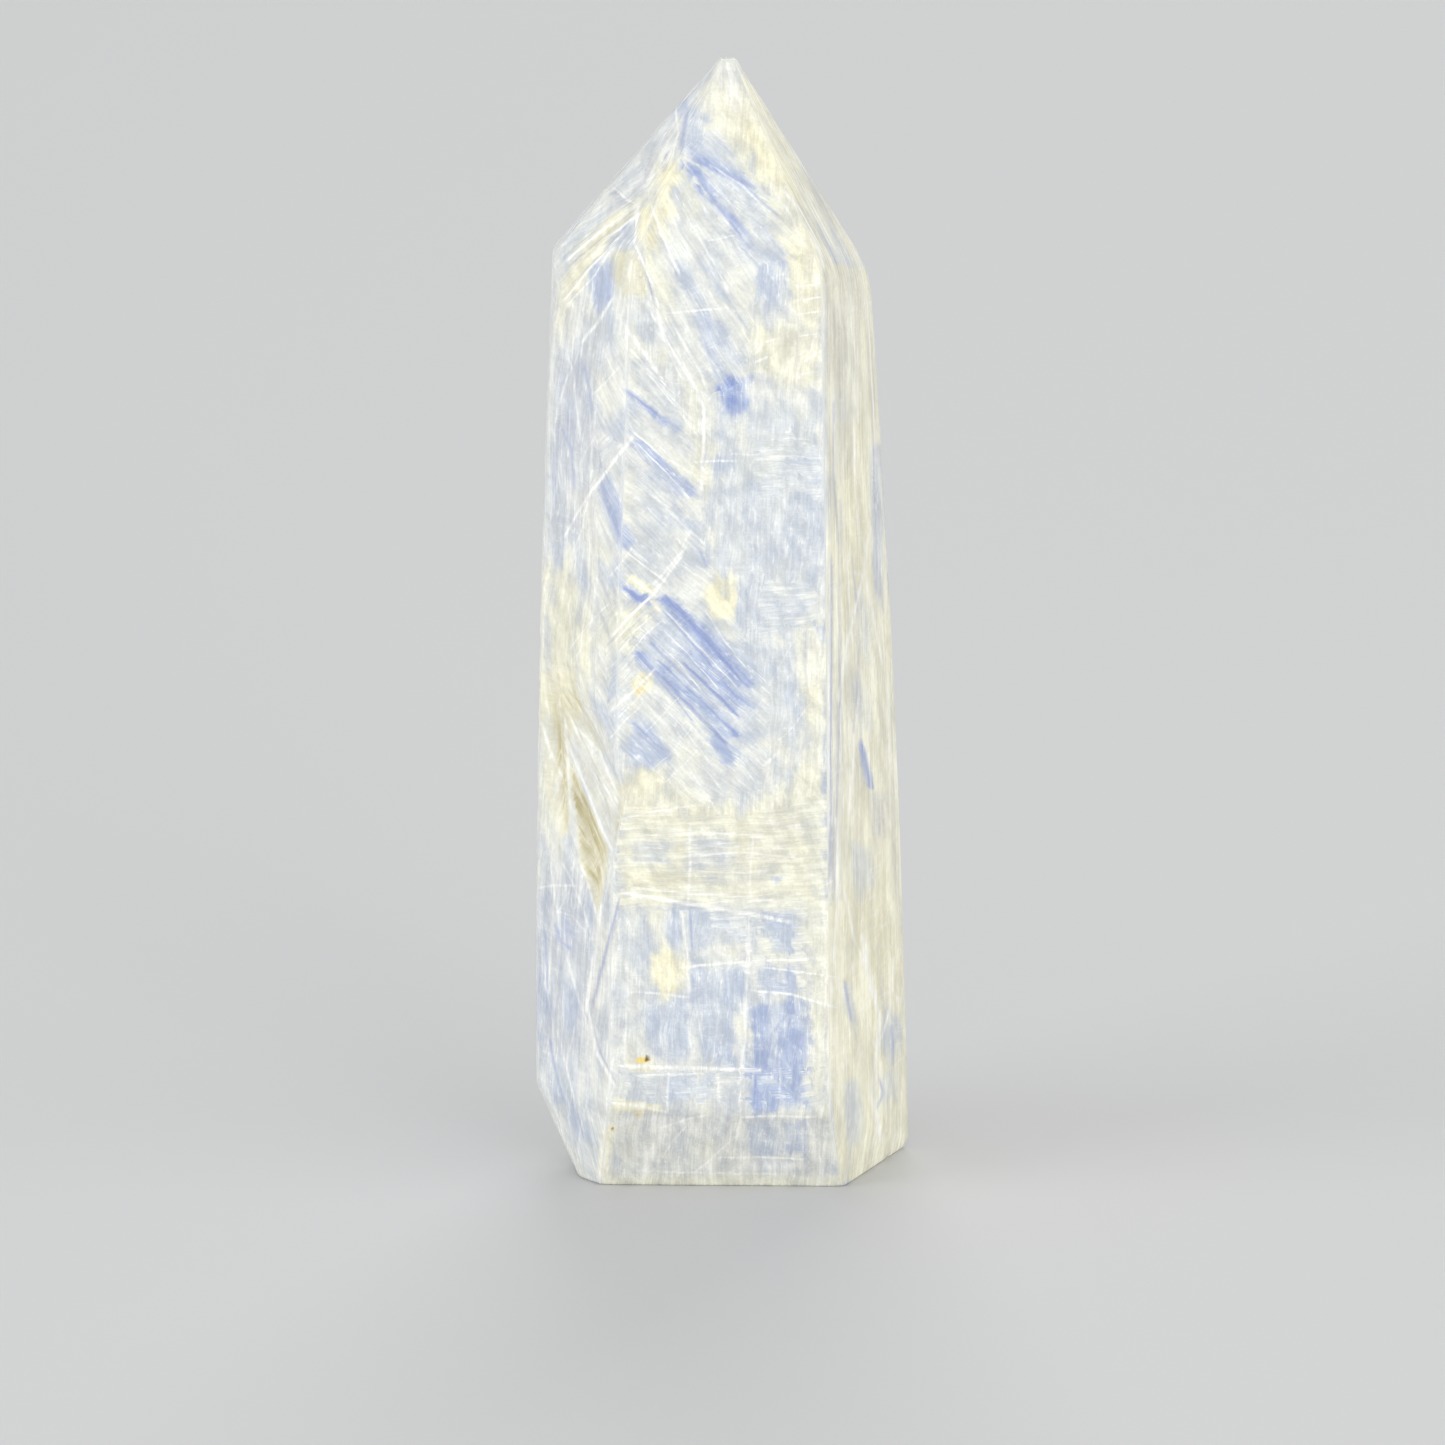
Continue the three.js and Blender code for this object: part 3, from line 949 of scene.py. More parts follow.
CREAM_PATCHES: dict[str, tuple[Patch, ...]] = {
    "right_wash": (area(0.7, 3, 826, 262, 874, 270, 896, 700, 912, 1140, 880, 1170, 840, 1186, 826, 1060),),
    "tip": (
        area(0.35, 8, 716, 62, 738, 62, 748, 88, 744, 130, 716, 104, 700, 96),
        area(
            0.62, 7, 706, 92, 748, 88, 776, 130, 800, 180, 822, 232, 836, 268, 822, 330, 800, 330, 794, 264,
            768, 212, 736, 160
        ),
        area(1, 5, 738, 120, 756, 124, 786, 160, 800, 192, 790, 200, 760, 168),
        area(0.8, 7, 786, 240, 806, 234, 824, 262, 820, 312, 796, 312, 788, 282),
    ),
    "shoulder_cream": (area(0.55, 9, 748, 330, 786, 322, 824, 330, 822, 384, 784, 388, 756, 366),),
    "apex": (
        area(1, 5, 660, 168, 678, 160, 682, 178, 668, 196, 676, 214, 656, 222),
        area(0.85, 6, 640, 206, 664, 208, 664, 240, 650, 262, 638, 236),
    ),
    "left": (
        area(0.75, 5, 564, 292, 566, 262, 612, 218, 636, 206, 636, 214, 596, 258, 574, 296),
        blade(648, 250, 664, 322, 12, 0.35, 6),
    ),
    "upper_curve": (blade(694, 380, 703, 486, 18, 0.4, 9),),
    "heart": (area(0.95, 4, 716, 574, 732, 580, 738, 600, 730, 616, 712, 618, 704, 596),),
    "cross": (
        area(0.55, 7, 612, 610, 640, 604, 650, 618, 628, 652, 606, 652),
        area(0.9, 3, 630, 682, 644, 670, 656, 674, 650, 690, 636, 700),
        area(0.95, 2, 624, 578, 634, 574, 656, 590, 652, 596),
    ),
    "belt": (
        area(0.5, 8, 620, 786, 632, 768, 664, 768, 684, 790, 742, 812, 800, 772, 828, 770, 830, 906, 618, 906),
        area(0.9, 4, 624, 868, 652, 866, 690, 880, 684, 892, 626, 888),
        area(0.85, 5, 626, 774, 640, 768, 664, 772, 664, 786, 640, 800, 626, 812),
        area(0.75, 4, 640, 822, 690, 806, 716, 812, 690, 826),
    ),
    "grid_heart": (area(0.9, 5, 652, 956, 672, 950, 684, 962, 682, 994, 664, 998, 650, 980),),
    # painted highlights: pale glints on the polish
    "painted_glint_patches": (
        area(0.7, 5, 802, 690, 820, 682, 824, 720, 806, 726),
        area(0.75, 5, 798, 768, 820, 766, 824, 800, 800, 800),
    ),
    "right_column": (box(800, 620, 828, 900, 0.35, 8),),
    "grid_right": (box(800, 900, 832, 1180, 0.3, 9),),
    "foot": (
        area(0.85, 3, 602, 1130, 612, 1124, 608, 1178, 596, 1178), box(600, 1174, 840, 1186, 0.5, 3),
        area(0.12, 6, 612, 1108, 828, 1122, 832, 1184, 602, 1182),
    ),
    "grid_lines_left": (area(0.85, 3, 614, 1098, 664, 1106, 662, 1114, 614, 1110),),
    "rust_row": (area(0.7, 4, 626, 1060, 656, 1060, 658, 1074, 628, 1072),),
    # left side
    "side": (
        area(0.55, 6, 572, 250, 592, 238, 574, 292, 564, 340, 556, 330, 560, 280),
        area(0.6, 12, 542, 560, 580, 570, 596, 640, 580, 700, 541, 720), blade(612, 590, 600, 690, 22, 0.3, 9),
        blade(540, 640, 538, 700, 14, 0.4, 7),
    ),
    # right side
    "right": (
        area(0.85, 6, 838, 420, 868, 430, 872, 520, 862, 582, 842, 640, 832, 560),
        area(0.95, 4, 846, 490, 862, 486, 868, 520, 858, 560, 850, 540),
        area(0.42, 8, 832, 640, 862, 600, 866, 700, 850, 800, 832, 840),
        area(0.4, 5, 868, 300, 880, 300, 898, 700, 906, 1060, 896, 1060, 884, 700),
        area(0.95, 6, 845, 900, 890, 905, 898, 965, 860, 975, 848, 940),
        area(0.85, 8, 846, 886, 892, 870, 908, 960, 900, 1000, 872, 1020, 850, 960),
        area(
            1, 4, 862, 936, 874, 940, 884, 1010, 880, 1060, 878, 1100, 886, 1136, 880, 1150, 872, 1100, 872,
            1030
        ),
        area(0.6, 5, 866, 1140, 908, 1112, 908, 1140, 872, 1168, 850, 1182),
        area(0.3, 8, 838, 268, 856, 262, 868, 300, 864, 400, 842, 390),
    ),
    "cap_strip": (area(0.55, 4, 744, 70, 800, 160, 866, 262, 852, 262, 790, 166, 738, 84),),
}

# tan: mostly the stone's own colour, with painted shade in the hollow's valley, scoop, groove and ledge
TAN_PATCHES: dict[str, tuple[Patch, ...]] = {
    "cap_spot": (area(0.85, 6, 614, 250, 636, 250, 646, 270, 650, 296, 622, 296, 612, 276),),
    "slope_wash": (
        area(0.7, 4, 541, 672, 575, 672, 582, 700, 572, 735, 570, 790, 570, 834, 560, 836, 545, 800, 540, 740),
    ),
    "valley_shade": (area(0.8, 3, 553, 690, 561, 700, 565, 760, 568, 828, 563, 815, 560, 760),),
    "faces_wash": (area(0.4, 4, 572, 724, 590, 745, 612, 780, 622, 822, 611, 848, 590, 800),),
    # painted shade: the shallow scoop above the hollow's blades, which the light reaches less
    "recess": (area(0.6, 5, 566, 700, 582, 700, 602, 726, 608, 750, 600, 754, 588, 738, 575, 722),),
    # painted shade: tan in the hollow's deep groove, where the finish adds its painted brown shade
    "main_groove_shade": (
        area(
            1, 2, 571, 757, 576, 773, 584, 792, 596, 818, 609, 848, 607, 872, 600, 905, 597, 914, 593, 900, 585,
            878, 579, 855, 577, 825, 572, 790
        ),
    ),
    "ledge_shade": (area(0.6, 3, 618, 786, 630, 782, 628, 796, 621, 824, 612, 850, 618, 815),),
    "belt_tan": (area(0.08, 8, 640, 830, 760, 826, 826, 850, 820, 870, 640, 860),),
}

# violet grey: mostly the stone's own colour, with painted shade in the hollow and on the foot
VIOLET_PATCHES: dict[str, tuple[Patch, ...]] = {
    "cap": (
        area(0.9, 2, 661, 168, 664, 154, 670, 150, 668, 164, 664, 172),
        area(0.5, 3, 660, 146, 668, 132, 672, 136, 666, 150),
        area(0.45, 5, 640, 168, 658, 150, 656, 176, 640, 196, 628, 196),
    ),
    "notch": (blade(615, 192, 628, 204, 5, 0.8, 2),),
    "edge_strip": (blade(620, 904, 592, 1004, 5, 0.75, 2),),
    # painted shade: the foot faces a little downward and is greyed as if less lit
    "foot_painted_shade": (area(0.16, 6, 614, 1112, 740, 1120, 826, 1124, 832, 1180, 608, 1176),),
    "side": (
        box(540, 880, 592, 1060, 0.3, 14), box(548, 300, 600, 540, 0.28, 16),
    ),
    "right": (
        area(0.3, 8, 826, 300, 846, 300, 852, 460, 826, 520),
        area(0.45, 2, 837, 500, 842, 500, 843, 900, 839, 900),
        area(0.4, 6, 868, 790, 888, 795, 888, 838, 872, 835), blade(832, 560, 831, 880, 3.5, 0.6, 2),
        blade(838, 700, 834, 890, 2.5, 0.5, 2),
    ),
    # painted shade: the same scoop, with painted shadow lines under the hollow's upper lip and along the
    # ledge's edge
    "recess": (
        area(0.4, 5, 568, 700, 584, 700, 603, 728, 608, 748, 600, 752, 586, 736),
        blade(598, 742, 615, 776, 4, 0.6, 2), blade(620, 824, 613, 846, 4, 0.6, 2),
    ),
    # painted shade: a grey veil over the hollow's sloping blade faces
    "faces_painted_shade": (area(0.3, 4, 574, 730, 590, 748, 612, 782, 618, 822, 611, 844, 590, 800),),
    "ladder_shade": (blade(798, 280, 798, 388, 4, 0.3, 3),),
    # painted shade: a grey line in the crease between the front and the foot
    "foot_crease_shade": (area(0.3, 2, 614, 1110, 700, 1114, 830, 1119, 830, 1124, 700, 1120, 612, 1117),),
}

RUST_PATCHES: dict[str, tuple[Patch, ...]] = {
    "rust_spot": (area(0.9, 1.5, 635, 1057, 645, 1056, 650, 1060, 643, 1064, 635, 1063),),
    "cross_spot": (area(0.5, 3, 636, 686, 643, 686, 643, 694, 636, 694),),
    "foot": (
        area(0.4, 3, 632, 1110, 644, 1111, 644, 1119, 634, 1119),
        area(0.4, 3, 608, 1124, 617, 1125, 616, 1133, 609, 1132),
    ),
}

# where the hollow is, so that its lines can be left out at the rear
HOLLOW_AREA = area(1, 3, 538, 676, 560, 668, 634, 780, 634, 830, 600, 925, 560, 860, 538, 760)

DARK_DOTS: dict[str, tuple[Patch, ...]] = {
    "rust_dot": (area(1, 1.5, 645, 1055, 651, 1056, 650, 1062, 645, 1061),),
    "foot": (
        area(0.6, 2, 634, 1112, 641, 1112, 641, 1118, 635, 1118),
        area(0.8, 1.5, 610, 1126, 616, 1126, 616, 1132, 610, 1132),
    ),
    "belt_dot": (area(0.8, 1.2, 638, 794, 641.5, 794, 642.5, 801, 640, 801),),
}

WHITE_THREADS: dict[str, tuple[Thread, ...]] = {
    # pyramid
    "tip_glow": (line(18, 0.6, 724, 68, 738, 108),),
    "splinter": (
        line(3, 1, 569, 259, 602, 230, 637, 205), line(2.6, 0.9, 578, 266, 608, 238, 636, 216),
        line(3, 1, 566, 298, 590, 268, 620, 236), line(2.2, 0.7, 572, 300, 596, 274, 610, 250),
    ),
    "fissure": (line(3.4, 1, 638, 208, 635, 244, 655, 292, 662, 330),),
    "fan": (
        line(3.4, 0.9, 652, 208, 664, 240, 678, 272), line(2.6, 0.6, 666, 204, 690, 254, 712, 296),
        line(2.2, 0.45, 676, 196, 706, 250, 728, 290), line(3, 0.8, 706, 178, 726, 198, 738, 216),
        line(2.4, 0.5, 712, 166, 744, 186, 764, 208),
    ),
    "cap_edge": (
        line(4, 0.95, 783, 190, 804, 216, 817, 243, 824, 266), line(2.5, 0.5, 768, 180, 790, 214, 804, 244),
    ),
    "fan_cross": (
        line(2.6, 0.95, 672, 313, 690, 311, 724, 308), line(2.4, 0.7, 712, 240, 732, 236),
    ),
    "cap": (
        line(3, 0.8, 616, 190, 628, 200, 637, 205), line(2.6, 0.7, 650, 178, 660, 170, 668, 158),
        line(3, 0.7, 676, 112, 678, 132, 672, 160),
    ),
    # upper half of the front
    "curve": (
        line(4.5, 0.8, 652, 300, 664, 338, 690, 378, 704, 408, 703, 452, 701, 492),
        line(3, 0.6, 676, 330, 700, 372, 710, 400),
    ),
    "upper_diagonal": (
        line(4.5, 0.9, 627, 330, 646, 354, 664, 383), line(2.4, 0.6, 633, 352, 660, 384, 690, 418),
        line(2.6, 0.6, 650, 376, 680, 412, 698, 436),
    ),
    "side_cross": (
        line(4, 0.85, 612, 300, 598, 322, 583, 341), line(3, 0.7, 618, 368, 604, 384, 596, 392),
    ),
    "long_cross": (
        line(4.2, 1, 632, 438, 612, 464, 590, 493), line(3.2, 0.95, 590, 493, 578, 512, 566, 534),
        line(2.4, 0.6, 588, 500, 582, 530, 570, 560),
    ),
    "blade_line": (
        line(2, 0.9, 640, 446, 664, 470, 688, 496), line(2.4, 0.75, 636, 434, 662, 456, 690, 472),
        line(1.6, 0.6, 640, 458, 660, 478, 674, 494),
    ),
    "middle_line": (
        line(3.6, 0.75, 657, 498, 680, 522, 702, 542), line(3, 0.85, 628, 554, 644, 566, 662, 580),
    ),
    "square": (
        line(4, 0.9, 683, 550, 672, 564, 657, 580), line(2.4, 0.6, 690, 532, 682, 548),
        line(2.6, 0.6, 632, 548, 622, 562, 612, 574),
    ),
    "level_line": (
        line(3, 0.85, 698, 462, 714, 461, 732, 461), line(2.4, 0.5, 734, 454, 780, 456, 822, 458),
        line(2, 0.4, 770, 440, 790, 438, 806, 440),
    ),
    "tick": (
        line(2.4, 0.9, 800, 286, 816, 284), line(2.4, 0.9, 800, 300, 817, 298),
        line(2.2, 0.9, 801, 314, 816, 312), line(2.2, 0.8, 804, 336, 815, 334, 812, 348),
        line(2.2, 0.8, 806, 360, 818, 352), line(2.2, 0.7, 802, 374, 815, 372),
    ),
    # painted highlights: small white glints on the polish
    "painted_glint_row": (
        line(3, 0.9, 758, 350, 764, 342, 772, 340), line(3, 0.9, 756, 362, 766, 358),
    ),
    # round the large block
    "cap_line": (line(3.6, 0.95, 627, 576, 640, 584, 656, 596),),
    "corner_line": (
        line(3.8, 1, 680, 558, 668, 574, 654, 594), line(3.4, 0.9, 654, 594, 634, 612, 614, 634),
    ),
    "comb": (
        line(1.8, 0.8, 644, 612, 630, 624, 616, 640), line(1.8, 0.8, 652, 616, 636, 630, 622, 648),
        line(1.6, 0.7, 660, 622, 646, 634, 630, 652), line(2.2, 0.7, 606, 606, 590, 622, 572, 646),
        line(1.8, 0.6, 604, 622, 590, 640, 576, 656),
    ),
    "head_line": (
        line(3.6, 0.95, 652, 672, 634, 690, 614, 709), line(2.2, 0.7, 648, 684, 636, 700, 620, 716),
        line(2.4, 0.7, 640, 706, 624, 722, 612, 736),
    ),
    "inner_line": (
        line(1.6, 0.6, 668, 614, 700, 648, 734, 684), line(2, 0.75, 662, 628, 690, 656, 716, 686),
        line(1.8, 0.8, 655, 640, 680, 664, 700, 690), line(1.4, 0.6, 688, 634, 712, 660, 742, 694),
        line(2, 0.6, 700, 690, 718, 706, 736, 716),
    ),
    "block": (
        line(2.4, 0.75, 706, 612, 724, 640, 744, 666), line(2.4, 0.7, 668, 700, 690, 724, 712, 748),
        line(2, 0.6, 650, 692, 680, 724, 708, 760),
    ),
    "low": (
        line(1.8, 0.6, 676, 700, 662, 716, 648, 730), line(2, 0.6, 700, 748, 684, 764, 668, 780),
        line(1.6, 0.5, 690, 730, 672, 752, 656, 766), line(1.8, 0.6, 668, 742, 690, 770, 714, 806),
        line(1.6, 0.5, 680, 740, 704, 768, 722, 790), line(3.4, 0.9, 776, 754, 766, 764),
    ),
    "right_long_cross": (line(2, 0.5, 808, 706, 792, 728, 770, 748),),
    "field_cross": (line(1.6, 0.4, 812, 620, 790, 646, 772, 680),),
    # belt and grid
    "belt": (
        line(2.6, 0.6, 620, 820, 650, 812, 690, 806), line(2.4, 0.6, 640, 836, 700, 832, 760, 836),
        line(2.4, 0.6, 676, 858, 740, 852, 800, 858), line(2.4, 0.6, 700, 872, 760, 874, 820, 880),
        line(3.4, 0.8, 634, 888, 700, 894, 768, 900), line(5, 1, 624, 893, 700, 906, 740, 912, 788, 922),
        line(2.2, 0.6, 690, 905, 740, 900, 800, 902),
    ),
    "grid": (
        line(3.2, 0.9, 684, 967, 740, 962, 806, 959), line(2.6, 0.8, 766, 968, 800, 972, 834, 977),
        line(3.2, 0.9, 755, 991, 790, 994, 834, 1007), line(3, 0.7, 632, 992, 660, 994, 686, 997),
        line(4.6, 1, 624, 1066, 680, 1068, 758, 1070), line(2.4, 0.7, 640, 1075, 700, 1074),
        line(4, 0.95, 616, 1103, 640, 1106, 664, 1112), line(3, 0.9, 746, 1117, 780, 1116, 812, 1117),
        line(3, 0.8, 666, 1126, 684, 1120, 702, 1116),
    ),
    "foot": (
        line(14, 0.5, 700, 1178, 722, 1152, 736, 1130), line(10, 0.45, 640, 1178, 652, 1152, 668, 1128),
        line(10, 0.6, 606, 1124, 603, 1150, 601, 1178), line(8, 0.45, 752, 1166, 780, 1167, 806, 1166),
        line(8, 0.45, 620, 1121, 660, 1118, 700, 1124), line(14, 0.4, 814, 1124, 816, 1150, 820, 1178),
        line(2.8, 0.75, 720, 1158, 760, 1157, 802, 1159), line(2.4, 0.6, 640, 1171, 700, 1173, 780, 1174),
        line(2.4, 0.8, 698, 1170, 714, 1156, 734, 1138), line(2, 0.5, 656, 1168, 672, 1142, 690, 1122),
        line(2.6, 0.6, 804, 1122, 803, 1160),
    ),
    "upright": (
        line(4, 0.75, 690, 826, 690, 862, 688, 902), line(4, 0.8, 682, 914, 684, 934, 687, 956),
        line(6.5, 0.75, 749, 926, 747, 990, 742, 1068, 739, 1110),
        line(3.6, 0.5, 742, 1110, 740, 1150, 742, 1172), line(3.2, 0.5, 630, 926, 628, 990, 624, 1062),
        line(3, 0.6, 669, 1070, 667, 1098, 668, 1112), line(2.2, 0.5, 696, 1004, 700, 1030, 704, 1050),
        line(4, 0.5, 824, 900, 826, 980, 828, 1090), line(3, 0.5, 753, 840, 750, 880, 751, 905),
    ),
    "bright_tick": (
        line(4.4, 1, 718, 1078, 719, 1097), line(3, 0.5, 780, 1074, 780, 1090),
    ),
    # left side and its front edge
    "edge": (
        line(4, 0.9, 588, 1008, 596, 1052, 613, 1084), line(5, 0.85, 601, 906, 594, 960, 587, 1006),
        line(3.4, 0.8, 612, 1060, 606, 1120, 600, 1176),
    ),
    "side": (
        line(3, 0.52, 538, 888, 556, 885, 574, 886), line(3, 0.49, 548, 838, 552, 876, 559, 920),
        line(2.6, 0.39, 574, 862, 570, 890, 558, 912), line(2.6, 0.45, 560, 912, 572, 916, 584, 930),
        line(2.8, 0.45, 564, 866, 580, 900, 592, 938), line(3, 0.52, 568, 960, 578, 996, 588, 1028),
        line(2.6, 0.45, 574, 1030, 566, 1064, 576, 1110), line(2.6, 0.39, 560, 1040, 572, 1090, 584, 1130),
        line(2.2, 0.33, 543, 960, 550, 1010, 557, 1060), line(2.4, 0.39, 572, 1088, 568, 1118, 572, 1140),
        line(2.6, 0.45, 590, 1090, 580, 1130, 578, 1160), line(3, 0.45, 560, 330, 572, 370, 580, 430, 582, 480),
        line(2.4, 0.39, 580, 350, 566, 380, 556, 420), line(3, 0.39, 590, 420, 592, 470, 588, 520),
        line(2.4, 0.33, 560, 430, 558, 480, 550, 520), line(2.4, 0.33, 600, 430, 586, 450, 578, 470),
        line(2.6, 0.39, 590, 530, 588, 590, 580, 640), line(2.6, 0.39, 566, 580, 572, 640, 584, 690),
        line(2.2, 0.33, 600, 560, 592, 620, 576, 660),
    ),
    # hollow
    "ridge": (
        line(4, 0.6, 566, 735, 578, 768, 600, 825, 611, 848),
        line(3, 0.48, 570, 715, 586, 754, 607, 790, 620, 816),
        line(3.4, 0.54, 565, 715, 568, 760, 569, 800, 571, 830), line(4, 0.6, 542, 725, 550, 750, 561, 774),
        line(3, 0.48, 577, 728, 600, 752, 612, 782, 620, 800),
    ),
    "wall_line": (line(2.6, 0.5, 572, 835, 579, 856, 587, 882, 596, 912),),
    # right side
    "right": (
        line(3, 0.7, 842, 500, 848, 580, 852, 640), line(3.4, 0.75, 870, 530, 862, 580, 846, 650, 838, 700),
        line(3, 0.7, 862, 560, 872, 610, 882, 660), line(3, 0.6, 858, 700, 852, 780, 846, 850),
        line(2.4, 0.5, 874, 660, 868, 740, 874, 830), line(3, 0.6, 854, 430, 856, 500, 860, 552),
        line(2.4, 0.6, 836, 590, 842, 680, 840, 760), line(2.4, 0.4, 880, 600, 888, 700, 892, 790),
        line(6, 0.9, 863, 936, 871, 985, 880, 1018, 876, 1056, 873, 1096, 881, 1138),
        line(3, 0.6, 846, 896, 854, 940, 866, 968), line(3, 0.6, 894, 960, 890, 1010, 882, 1036),
        line(3.6, 0.6, 836, 820, 838, 900, 834, 960), line(2.6, 0.6, 830, 560, 829, 700, 829, 828),
        line(2.4, 0.5, 848, 290, 856, 360, 858, 420), line(3, 0.6, 866, 300, 873, 400, 876, 460),
    ),
}

INK_THREADS: dict[str, tuple[Thread, ...]] = {
    "fan_ink": (
        line(6, 0.5, 690, 157, 720, 172, 754, 187), line(5, 0.42, 689, 164, 714, 198, 744, 230),
        line(6, 0.55, 686, 116, 683, 134, 682, 154), line(3, 0.5, 700, 182, 724, 214, 748, 246),
        line(3, 0.45, 724, 170, 752, 192, 776, 214),
    ),
    "splinter_ink": (
        line(2.4, 0.4, 572, 264, 604, 236, 634, 210), line(2.4, 0.45, 574, 282, 604, 252, 626, 226),
    ),
    "fissure_ink": (line(2.4, 0.5, 635, 224, 636, 250, 646, 272, 656, 312),),
    "thin_ink": (line(4, 0.6, 627, 391, 646, 406, 680, 430),),
    "long_ink": (
        line(3, 0.45, 636, 441, 662, 466, 690, 494), line(2.6, 0.4, 634, 448, 656, 474, 682, 502),
    ),
    "edge_ink": (line(6, 0.35, 602, 486, 612, 516, 620, 542),),
    "block_ink": (
        line(6, 0.95, 666, 597, 706, 640, 748, 686), line(3, 0.6, 676, 604, 716, 646, 752, 684),
        line(3, 0.6, 664, 612, 700, 652, 738, 700), line(3.4, 0.65, 652, 644, 684, 676, 716, 704),
        line(5, 0.9, 638, 654, 676, 692, 724, 742), line(4.4, 0.85, 684, 664, 714, 692, 738, 716),
        line(3, 0.7, 660, 662, 700, 700, 734, 732), line(3, 0.5, 646, 664, 676, 700, 692, 720),
    ),
    "cap_ink": (line(6, 0.8, 625, 588, 636, 596, 650, 605),),
    "left_ink": (line(4, 0.5, 634, 724, 648, 736, 660, 748),),
    "upper_ink": (line(4, 0.25, 694, 316, 706, 346, 718, 380),),
    "patch_ink": (line(5, 0.3, 734, 384, 742, 396, 740, 410),),
    "right": (
        line(5, 0.6, 862, 742, 866, 764, 871, 786), line(2.6, 0.5, 832, 556, 831, 700, 829, 884),
        line(2.2, 0.4, 841, 640, 838, 760, 835, 890), line(3, 0.35, 852, 560, 860, 640, 854, 730),
        line(4, 0.45, 880, 446, 886, 520, 890, 590), line(3, 0.35, 834, 404, 833, 470, 838, 540),
        line(4, 0.7, 892, 1028, 893, 1046, 893, 1064), line(4, 0.5, 845, 984, 848, 1002, 851, 1020),
        line(4, 0.5, 880, 1080, 884, 1094, 878, 1106),
    ),
    "grid_ink": (
        line(3, 0.4, 754, 1012, 756, 1060, 754, 1108), line(2.6, 0.6, 804, 1122, 804, 1140, 804, 1162),
        line(3, 0.5, 690, 914, 691, 930, 692, 948), line(4, 0.35, 792, 1008, 772, 1034, 764, 1070),
    ),
    "edge_violet_ink": (
        line(3, 0.55, 619, 900, 606, 950, 594, 1002), line(2.4, 0.4, 590, 1012, 600, 1052, 614, 1080),
    ),
    "side_ink": (
        line(5, 0.5, 556, 926, 560, 940, 570, 948), line(3, 0.4, 544, 930, 548, 970, 546, 1010),
        line(3.6, 0.5, 550, 1040, 556, 1072, 564, 1104), line(4, 0.4, 584, 366, 590, 390, 592, 414),
        line(4, 0.4, 562, 430, 572, 450, 574, 486),
    ),
    "square_ink": (line(4, 0.4, 690, 540, 700, 550, 706, 566),),
}


@dataclass
class Grain:
    """How the crystals lie on the front: areas in which the fibres run one way."""

    down_right: tuple[Patch, ...] = (
        area(1, 8, 676, 150, 716, 130, 800, 232, 800, 262, 752, 262, 720, 220),
        area(
            1, 12, 610, 330, 664, 376, 706, 470, 700, 540, 772, 700, 760, 790, 690, 806, 600, 730, 598, 560,
            596, 420
        ),
        area(0.9, 8, 560, 680, 600, 720, 628, 800, 600, 905, 570, 850),
    )
    steep: tuple[Patch, ...] = (
        area(1, 10, 640, 210, 690, 160, 760, 262, 744, 380, 704, 400, 656, 350),
    )
    down_left: tuple[Patch, ...] = (
        area(1, 6, 552, 262, 560, 240, 640, 160, 650, 200, 600, 262, 566, 310),
        area(0.8, 8, 606, 606, 650, 590, 652, 612, 634, 640, 640, 700, 606, 720),
        area(0.6, 10, 600, 430, 632, 440, 600, 500, 570, 540),
    )
    level: tuple[Patch, ...] = (
        area(1, 12, 616, 800, 690, 812, 742, 818, 830, 790, 832, 905, 614, 912),
        area(0.6, 12, 740, 430, 820, 430, 826, 500, 760, 500),
        area(0.7, 10, 760, 580, 820, 580, 820, 630, 756, 634),
        area(0.5, 8, 612, 1060, 832, 1060, 834, 1110, 604, 1106),
        area(0.5, 10, 690, 900, 830, 900, 830, 1000, 750, 1000),
    )


